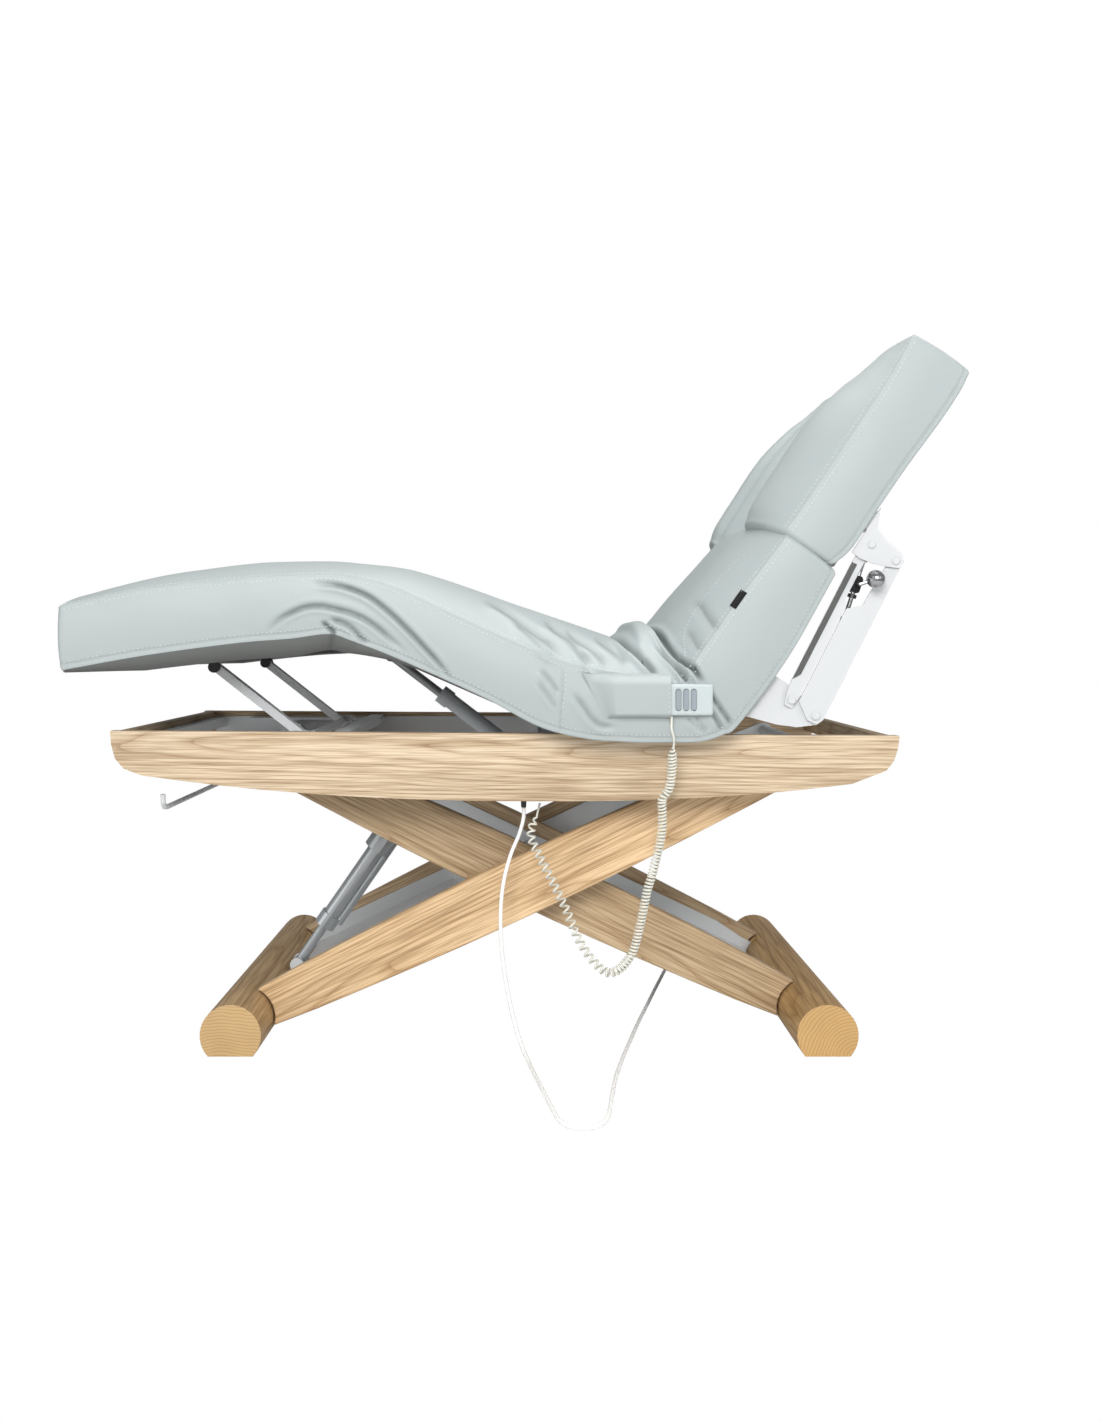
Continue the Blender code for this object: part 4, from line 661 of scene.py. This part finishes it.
def stations(t0, t1, step):
    """Stations from knot t0 to t1, about step apart along the crown."""
    fine = [t0 + (t1 - t0) * i / 2000 for i in range(2001)]
    got, run, last = [t0], 0.0, spline(S_PTS, t0)
    for t in fine[1:]:
        p = spline(S_PTS, t)
        run += max((p - last).length, 0.55 * (spline(B_PTS, t) - spline(B_PTS, t - (t1 - t0) / 2000)).length)
        last = p
        if run >= step:
            got.append(t)
            run = 0.0
    if t1 - got[-1] < (t1 - t0) * 0.002:
        got[-1] = t1
    else:
        got.append(t1)
    return got


SPLIT_1, SPLIT_2 = 7.0, 11.4
STEP = 0.0045
leg_t = stations(0.0, SPLIT_1, STEP)
hip_t = stations(SPLIT_1, SPLIT_2, STEP * 0.72)
back_t = stations(SPLIT_2, len(LONG) - 1, STEP * 0.72)
leg_cover = loft("leg_cover", [long_section(t) for t in leg_t], True, False, FOLDS)
hip_cover = loft("hip_cover", [long_section(t) for t in hip_t], False, False, FOLDS)
back_cover = loft("back_cover", [long_section(t) for t in back_t], False, True, FOLDS)


def seam_lines(ts, offset_side, offset_top, station, lobes=0.0):
    """Twin stitch rows beside the side seam, on both sides of the pad."""
    lines = []
    for side in (-1, 1):
        rows = [[], []]
        for t in ts:
            b, s, c = (Vector(q) for q in station(t))
            up = (s - b).normalized()
            p = s - up * offset_side
            rows[0].append((Vector((p.x, side * (HALF - 0.0005), p.y)), Vector((0, side, 0))))
            a = 1 - offset_top / HALF
            h = 1 - a ** 4.2
            q = s + (c - s) * h
            n = Vector(((c - s).x, 0, (c - s).y)).normalized()
            rows[1].append((Vector((q.x, side * a * HALF, q.y)) + n * 0.0012, (n + Vector((0, side, 0)) * 0.9).normalized()))
        lines += rows
    return lines


for obj, ts in ((leg_cover, leg_t), (hip_cover, hip_t), (back_cover, back_t)):
    dashes(obj, seam_lines(ts, 0.005, 0.010, long_station))


# stitching along the hem and the curved seam over the front of the back
def crown_point(t, a, side):
    b, s, c = (Vector(q) for q in long_station(t))
    up = (s - b).normalized()
    q = s + up * (0.0030 * a) + (c - s) * (1 - a ** 4.2)
    n = Vector(((c - s).x, 0, (c - s).y)).normalized()
    return Vector((q.x, side * a * HALF, q.y)) + n * 0.0012, n


for obj, ts in ((leg_cover, leg_t), (hip_cover, hip_t), (back_cover, back_t)):
    rows = []
    for side in (-1, 1):
        row = []
        for t in ts:
            b, s, c = (Vector(q) for q in long_station(t))
            p = b + (s - b).normalized() * 0.0125
            row.append((Vector((p.x, side * (HALF - 0.0008), p.y)), Vector((0, side, 0))))
        rows.append(row)
    dashes(obj, rows)
last_knot = len(LONG) - 1
for side in (-1, 1):
    arch = []
    for i in range(60):
        u = i / 59
        t = last_knot - 3.2 + 2.9 * u
        a = 0.93 - 0.20 * math.sin(math.pi * min(1.0, u * 0.62)) ** 1.5 + 0.06 * u * u
        arch.append(crown_point(t, a, side))
    dashes(back_cover, [arch])

for px in (((565.5, 668), (565.5, 689), (563, 714), (563, 731)),):
    upright = [at(*q) for q in px]
    dashes(hip_cover, [[(Vector((*spline(upright, 3 * k / 24), 0)).xzy + Vector((0, side * HALF, 0)), Vector((0, side, 0)))
                        for k in range(25)] for side in (-1, 1)])

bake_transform(leg_cover)
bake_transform(hip_cover)
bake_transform(back_cover)
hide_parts("calf_pad", "thigh_pad")
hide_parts("back_pad", "seat_pad")


def closed(name, front, outward, thick, *materials):
    """A sheet from a grid of places, given thickness on the side away from outward and closed round its edge."""
    bm = bmesh.new()
    over = [[bm.verts.new(p) for p in row] for row in front]
    under = [[bm.verts.new(Vector(p) - Vector(o) * thick) for p, o in zip(row, ways)] for row, ways in zip(front, outward)]
    nu, nv = len(front), len(front[0])
    for i in range(nu - 1):
        for j in range(nv - 1):
            bm.faces.new((over[i][j], over[i + 1][j], over[i + 1][j + 1], over[i][j + 1]))
            bm.faces.new((under[i][j], under[i][j + 1], under[i + 1][j + 1], under[i + 1][j]))
    rim = [(i, 0) for i in range(nu)] + [(nu - 1, j) for j in range(1, nv)] + [(i, nv - 1) for i in range(nu - 2, -1, -1)] + [(0, j) for j in range(nv - 2, 0, -1)]
    for (i, j), (k, m) in zip(rim, rim[1:] + rim[:1]):
        bm.faces.new((over[i][j], under[i][j], under[k][m], over[k][m]))
    bmesh.ops.recalc_face_normals(bm, faces=bm.faces)
    mesh = bpy.data.meshes.new(name)
    bm.to_mesh(mesh)
    bm.free()
    mesh.shade_smooth()
    mesh.set_sharp_from_angle(angle=rad(50))
    for material in materials:
        mesh.materials.append(material)
    obj = bpy.data.objects.new(name, mesh)
    bpy.context.scene.collection.objects.link(obj)
    return obj


# side pocket for the handset: a flat band sewn on three edges, open towards the back
PX_LOW, PX_HIGH, PX1, PZ0, PZ1 = 0.1380 + XC, 0.0975 + XC, 0.2515 + XC, 0.6065, 0.6850
sheet = []
for i in range(45):
    row = []
    for j in range(31):
        u, v = i / 44, j / 30
        left = PX_LOW + (PX_HIGH - PX_LOW) * v
        x, z = left + (PX1 - left) * u, PZ0 + (PZ1 - PZ0) * v
        rise = min(1.0, (x - left) / (0.1570 + XC - left))
        rise = rise * rise * (3 - 2 * rise)
        fall = min(1.0, (1 - v) / 0.23)
        edge = math.sin(min(1.0, v / 0.11) * math.pi / 2) ** 0.8 * fall * fall * (3 - 2 * fall)
        row.append((x, -0.3745 - 0.0166 * rise * edge - 0.0006 * noise.noise(Vector((x * 40, z * 40, 3))), z))
    sheet.append(row)
pocket = closed("handset_pocket", sheet, [[(0, -1, 0)] * 31] * 45, 0.0010, LEATHER, STITCH)
hem_x = PX1 - 0.004
dashes(pocket, [[(Vector((hem_x, -0.3914, 0.613 + 0.053 * k / 20)), Vector((0, -1, 0))) for k in range(21)]])
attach(pocket, "tray")

# plain black tag sewn on beside the back's seam, lying on the cover
cover = bmesh.new()
cover.from_mesh(back_cover.data)
skin = BVHTree.FromBMesh(cover)
cover.free()
eye = Vector((XC, CAM_Y, CAM_Z))
TAG_CORNERS = [Vector(q) for q in ((730.0, 605.9), (735.8, 609.3), (747.2, 593.1), (741.4, 589.7))]
sheet, ways = [], []
for i in range(13):
    row, way = [], []
    for j in range(7):
        u, v = i / 12, j / 6
        px = (TAG_CORNERS[0] * (1 - u) + TAG_CORNERS[3] * u) * (1 - v) + (TAG_CORNERS[1] * (1 - u) + TAG_CORNERS[2] * u) * v
        x, z = at(*px)
        place, normal, *_ = skin.ray_cast(eye, (Vector((x, NEAR, z)) - eye).normalized())
        row.append(place + normal * 0.0014)
        way.append(tuple(normal))
    sheet.append(row)
    ways.append(way)
tag = closed("plain_tag", sheet, ways, 0.0018, TAG)
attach(tag, "back")

# ---------------------------------------------------------------- head pad
HEAD = [
    ((836, 563), (789, 530), (759, 508)),
    ((853, 547.5), (801, 514), (764.5, 490)),
    ((876, 513), (826, 477), (788, 452.5)),
    ((909, 465), (860, 427), (821.5, 402)),
    ((942, 420), (889, 382), (857, 370)),
    ((961, 391), (905, 354), (879, 356)),
    ((970, 373), (914.5, 337), (903, 337)),
]
HB, HS, HC = ([at(*k[i]) for k in HEAD] for i in range(3))


def head_station(t):
    return (tuple(spline(HB, t)), tuple(spline(HS, t)), tuple(spline(HC, t)))


head_t = [i * (len(HEAD) - 1) / 110 for i in range(111)]
head_cover = loft("head_cover", [head_station(t) for t in head_t], True, True, [], lobes=0.85)
dashes(head_cover, seam_lines(head_t, 0.005, 0.010, head_station))
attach(head_cover, "head")
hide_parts("head_pad")

# ---------------------------------------------------------------- folded edge of the inner head links, drawn as a thin strip painted dark with the shade the back casts on it
BACK_DEG, BACK_AT = 57.0, (0.3675 + XC, 0.588)
LOW_BOLT, HIGH_BOLT = Vector((0.0970, -0.0585)), Vector((0.4058, -0.0265))
RUN = (HIGH_BOLT - LOW_BOLT).normalized()


def link_pt(along, aside):
    """A place on the inner head link: along it from its lower bolt, and aside to its rear."""
    s = LOW_BOLT.x + RUN.x * along + RUN.y * aside
    t = LOW_BOLT.y + RUN.y * along - RUN.x * aside
    c, k = math.cos(rad(BACK_DEG)), math.sin(rad(BACK_DEG))
    return (BACK_AT[0] + s * c - t * k, BACK_AT[1] + s * k + t * c)


def prism(name, outline, y0, y1, mat):
    bm = bmesh.new()
    rows = [[bm.verts.new((x, y, z)) for x, z in outline] for y in (y0, y1)]
    count = len(outline)
    for i in range(count):
        j = (i + 1) % count
        bm.faces.new((rows[0][i], rows[0][j], rows[1][j], rows[1][i]))
    bm.faces.new(rows[0])
    bm.faces.new(rows[1][::-1])
    bmesh.ops.recalc_face_normals(bm, faces=bm.faces)
    mesh = bpy.data.meshes.new(name)
    bm.to_mesh(mesh)
    bm.free()
    mesh.materials.append(mat)
    obj = bpy.data.objects.new(name, mesh)
    bpy.context.scene.collection.objects.link(obj)
    return obj


SHADE = shader("shaded_steel", (0.085, 0.085, 0.082), 0.5)
for side, word in ((-1, "near"), (1, "far")):
    edge = [link_pt(0.034, -0.0160), link_pt(0.268, -0.0160), link_pt(0.268, -0.0062), link_pt(0.048, -0.0062)]
    fold = prism("link_fold_" + word, edge, side * 0.3577, side * 0.3570, SHADE)
    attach(fold, "inner_link")

# ---------------------------------------------------------------- cap on the inner side of the far leg link
disc = [(-0.592 + XC + 0.0110 * math.cos(math.pi * i / 12), 0.694 + 0.0110 * math.sin(math.pi * i / 12)) for i in range(24)]
cap = prism("leg_link_inner_cap", disc, 0.1985, 0.2036, BLACK)
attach(cap, "leg_links")

# ---------------------------------------------------------------- fork and lock nut of the gas spring's release
DARK = shader("black_oxide", (0.030, 0.030, 0.031), 0.34, 0.6)


def back_place(along, aside):
    c, k = math.cos(rad(BACK_DEG)), math.sin(rad(BACK_DEG))
    return Vector((BACK_AT[0] + along * c - aside * k, BACK_AT[1] + along * k + aside * c))


SPRING_FOOT, SPRING_TOP = back_place(0.0964, -0.1100), back_place(0.4058, -0.0265)
SPRING_RUN = (SPRING_TOP - SPRING_FOOT).normalized()
SPRING_SIDE = Vector((-SPRING_RUN.y, SPRING_RUN.x))
SPRING_Y = -0.3395


def on_spring(along, aside):
    return tuple(SPRING_FOOT + SPRING_RUN * along + SPRING_SIDE * aside)


fork_shape = [(0.2325, -0.0060), (0.2350, -0.0085), (0.2590, -0.0085), (0.2630, -0.0050), (0.2630, 0.0050), (0.2590, 0.0085),
              (0.2350, 0.0085), (0.2325, 0.0060)]
for word, y0, y1 in (("near", -0.3475, -0.3447), ("far", -0.3343, -0.3318)):
    cheek = prism("release_fork_" + word, [on_spring(*q) for q in fork_shape], y0, y1, DARK)
    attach(cheek, "lever")
nut_bm = bmesh.new()
loops = []
for along, radius in ((0.2225, 0.0049), (0.2225, 0.0084), (0.2285, 0.0084), (0.2285, 0.0049)):
    loop = []
    for i in range(12):
        ang = 2 * math.pi * i / 12
        r = radius if radius < 0.006 else radius * (1.0 if i % 2 else 0.90)
        x, z = on_spring(along, r * math.cos(ang))
        loop.append(nut_bm.verts.new((x, SPRING_Y + min(r, 0.0080) * math.sin(ang), z)))
    loops.append(loop)
for l0, l1 in zip(loops, loops[1:] + loops[:1]):
    for i in range(12):
        nut_bm.faces.new((l0[i], l0[(i + 1) % 12], l1[(i + 1) % 12], l1[i]))
bmesh.ops.recalc_face_normals(nut_bm, faces=nut_bm.faces)
nut_mesh = bpy.data.meshes.new("release_nut")
nut_bm.to_mesh(nut_mesh)
nut_bm.free()
nut_mesh.materials.append(DARK)
nut = bpy.data.objects.new("release_nut", nut_mesh)
bpy.context.scene.collection.objects.link(nut)
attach(nut, "gas_rod")

# ---------------------------------------------------------------- cords
def tube(name, points, diameter, mat, sides=8):
    curve = bpy.data.curves.new(name, "CURVE")
    curve.dimensions = "3D"
    curve.bevel_depth = diameter / 2
    curve.bevel_resolution = max(0, sides // 2 - 2)
    curve.use_fill_caps = True
    line = curve.splines.new("POLY")
    line.points.add(len(points) - 1)
    for q, p in zip(line.points, points):
        q.co = (*p, 1)
    obj = bpy.data.objects.new(name, curve)
    bpy.context.scene.collection.objects.link(obj)
    bpy.context.view_layer.update()
    graph = bpy.context.evaluated_depsgraph_get()
    mesh = bpy.data.meshes.new_from_object(obj.evaluated_get(graph))
    bpy.data.objects.remove(obj)
    made = bpy.data.objects.new(name, mesh)
    bpy.context.scene.collection.objects.link(made)
    mesh.materials.clear()
    mesh.materials.append(mat)
    mesh.shade_smooth()
    return made


def length(points):
    return sum((b - a).length for a, b in zip(points, points[1:]))


CURLY = [
    (0.2530, -0.3825, 0.6100), (0.2525, -0.3832, 0.5897), (0.2571, -0.3800, 0.5702), (0.2572, -0.3725, 0.5556),
    (0.2558, -0.3680, 0.5413), (0.2558, -0.3620, 0.5190), (0.2539, -0.3570, 0.4925), (0.2495, -0.3550, 0.4754),
    (0.2411, -0.3540, 0.4656), (0.2390, -0.3510, 0.4553), (0.2399, -0.3490, 0.4380), (0.2401, -0.3470, 0.4143),
    (0.2380, -0.3460, 0.3911), (0.2324, -0.3455, 0.3655), (0.2274, -0.3450, 0.3448), (0.2214, -0.3445, 0.3210),
    (0.2132, -0.3440, 0.2937), (0.2019, -0.3425, 0.2381), (0.1884, -0.3410, 0.1869), (0.1670, -0.3390, 0.1561),
    (0.1456, -0.3370, 0.1462), (0.1242, -0.3340, 0.1594), (0.1028, -0.3310, 0.1851), (0.0863, -0.3280, 0.2141),
    (0.0700, -0.3240, 0.2544), (0.0536, -0.3190, 0.2880), (0.0373, -0.3130, 0.3195), (0.0208, -0.3060, 0.3510),
    (0.0080, -0.2990, 0.3770), (0.0058, -0.2930, 0.3960), (0.0150, -0.2840, 0.4180), (0.0220, -0.2800, 0.4440),
]
curly_line = spaced([(x + XC, y, z) for x, y, z in CURLY], 0.002)
total = length(curly_line)
WIRE, COIL_R = 0.0042, 0.0064
helix, phase, run = [], 0.0, 0.0
frame_n = Vector((0, 1, 0))
sub = 6
for i in range(len(curly_line) - 1):
    a, b = curly_line[i], curly_line[i + 1]
    tangent = (b - a).normalized()
    frame_n = (frame_n - tangent * frame_n.dot(tangent)).normalized()
    binormal = tangent.cross(frame_n)
    for k in range(sub):
        p = a.lerp(b, k / sub)
        u = run / total
        pitch = 0.0062 + 0.0078 * max(0.0, min(1.0, (u - 0.56) / 0.07))
        ends = max(0.0, min(1.0, (run - 0.055) / 0.020, (total - run - 0.018) / 0.030))
        r = COIL_R * ends * ends * (3 - 2 * ends)
        helix.append(p + frame_n * (r * math.cos(phase)) + binormal * (r * math.sin(phase)))
        d = (b - a).length / sub
        phase += 2 * math.pi * d / pitch
        run += d
helix.append(curly_line[-1])
curly = tube("curly_lead", helix, WIRE, CREAM, 6)
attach(curly, "tray")
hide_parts("curly_cord")

FLOOR = 0.0039
COIL = (0.400 + XC, 0.425)
MAINS = [
    (-0.0080, -0.2800, 0.4355), (-0.0085, -0.2805, 0.4150), (-0.0170, -0.2850, 0.3850), (-0.0320, -0.2920, 0.3500),
    (-0.0450, -0.2980, 0.3000), (-0.0500, -0.3030, 0.2450), (-0.0480, -0.3090, 0.1850), (-0.0400, -0.3170, 0.1250),
    (-0.0280, -0.3300, 0.0700), (-0.0140, -0.3560, 0.0290), (0.0000, -0.3950, 0.0095), (0.0120, -0.4500, FLOOR),
    (0.0220, -0.5050, FLOOR), (0.0320, -0.5600, FLOOR), (0.0410, -0.6080, FLOOR), (0.0500, -0.6440, FLOOR),
    (0.0680, -0.6660, FLOOR), (0.0920, -0.6690, FLOOR), (0.1130, -0.6540, FLOOR), (0.1250, -0.6220, FLOOR),
    (0.1340, -0.5600, FLOOR), (0.1470, -0.4700, FLOOR), (0.1650, -0.3800, FLOOR), (0.1880, -0.2800, FLOOR),
    (0.2140, -0.1700, FLOOR), (0.2420, -0.0600, FLOOR), (0.2700, 0.0500, FLOOR), (0.2960, 0.1500, FLOOR),
    (0.3190, 0.2400, FLOOR), (0.3370, 0.3150, FLOOR), (0.3480, 0.3750, FLOOR),
]
mains_line = [Vector((x + XC, y, z)) for x, y, z in MAINS]
# tied coil: turns laid beside and on each other
turns = []
layers = [(0.0433, FLOOR), (0.0351, FLOOR), (0.0392, FLOOR + 0.0066)]
steps = 24
prev_r, prev_z = layers[0]
for k, (r, z) in enumerate(layers):
    for i in range(steps):
        u = i / steps
        nr, nz = layers[k + 1] if k + 1 < len(layers) else (r, z)
        e = max(0.0, (u - 0.72) / 0.28)
        e = e * e * (3 - 2 * e)
        rr, zz = r + (nr - r) * e, z + (nz - z) * e
        ang = math.pi - 2 * math.pi * u
        turns.append(Vector((COIL[0] + rr * math.cos(ang), COIL[1] + rr * math.sin(ang), zz)))
mains_line += turns
mains_path = [Vector(p) for p in spaced([tuple(p) for p in mains_line], 0.006)]
mains = tube("mains_lead", mains_path, 0.0070, LEAD, 10)
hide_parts("mains_cord", "mains_coil")
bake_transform(mains)
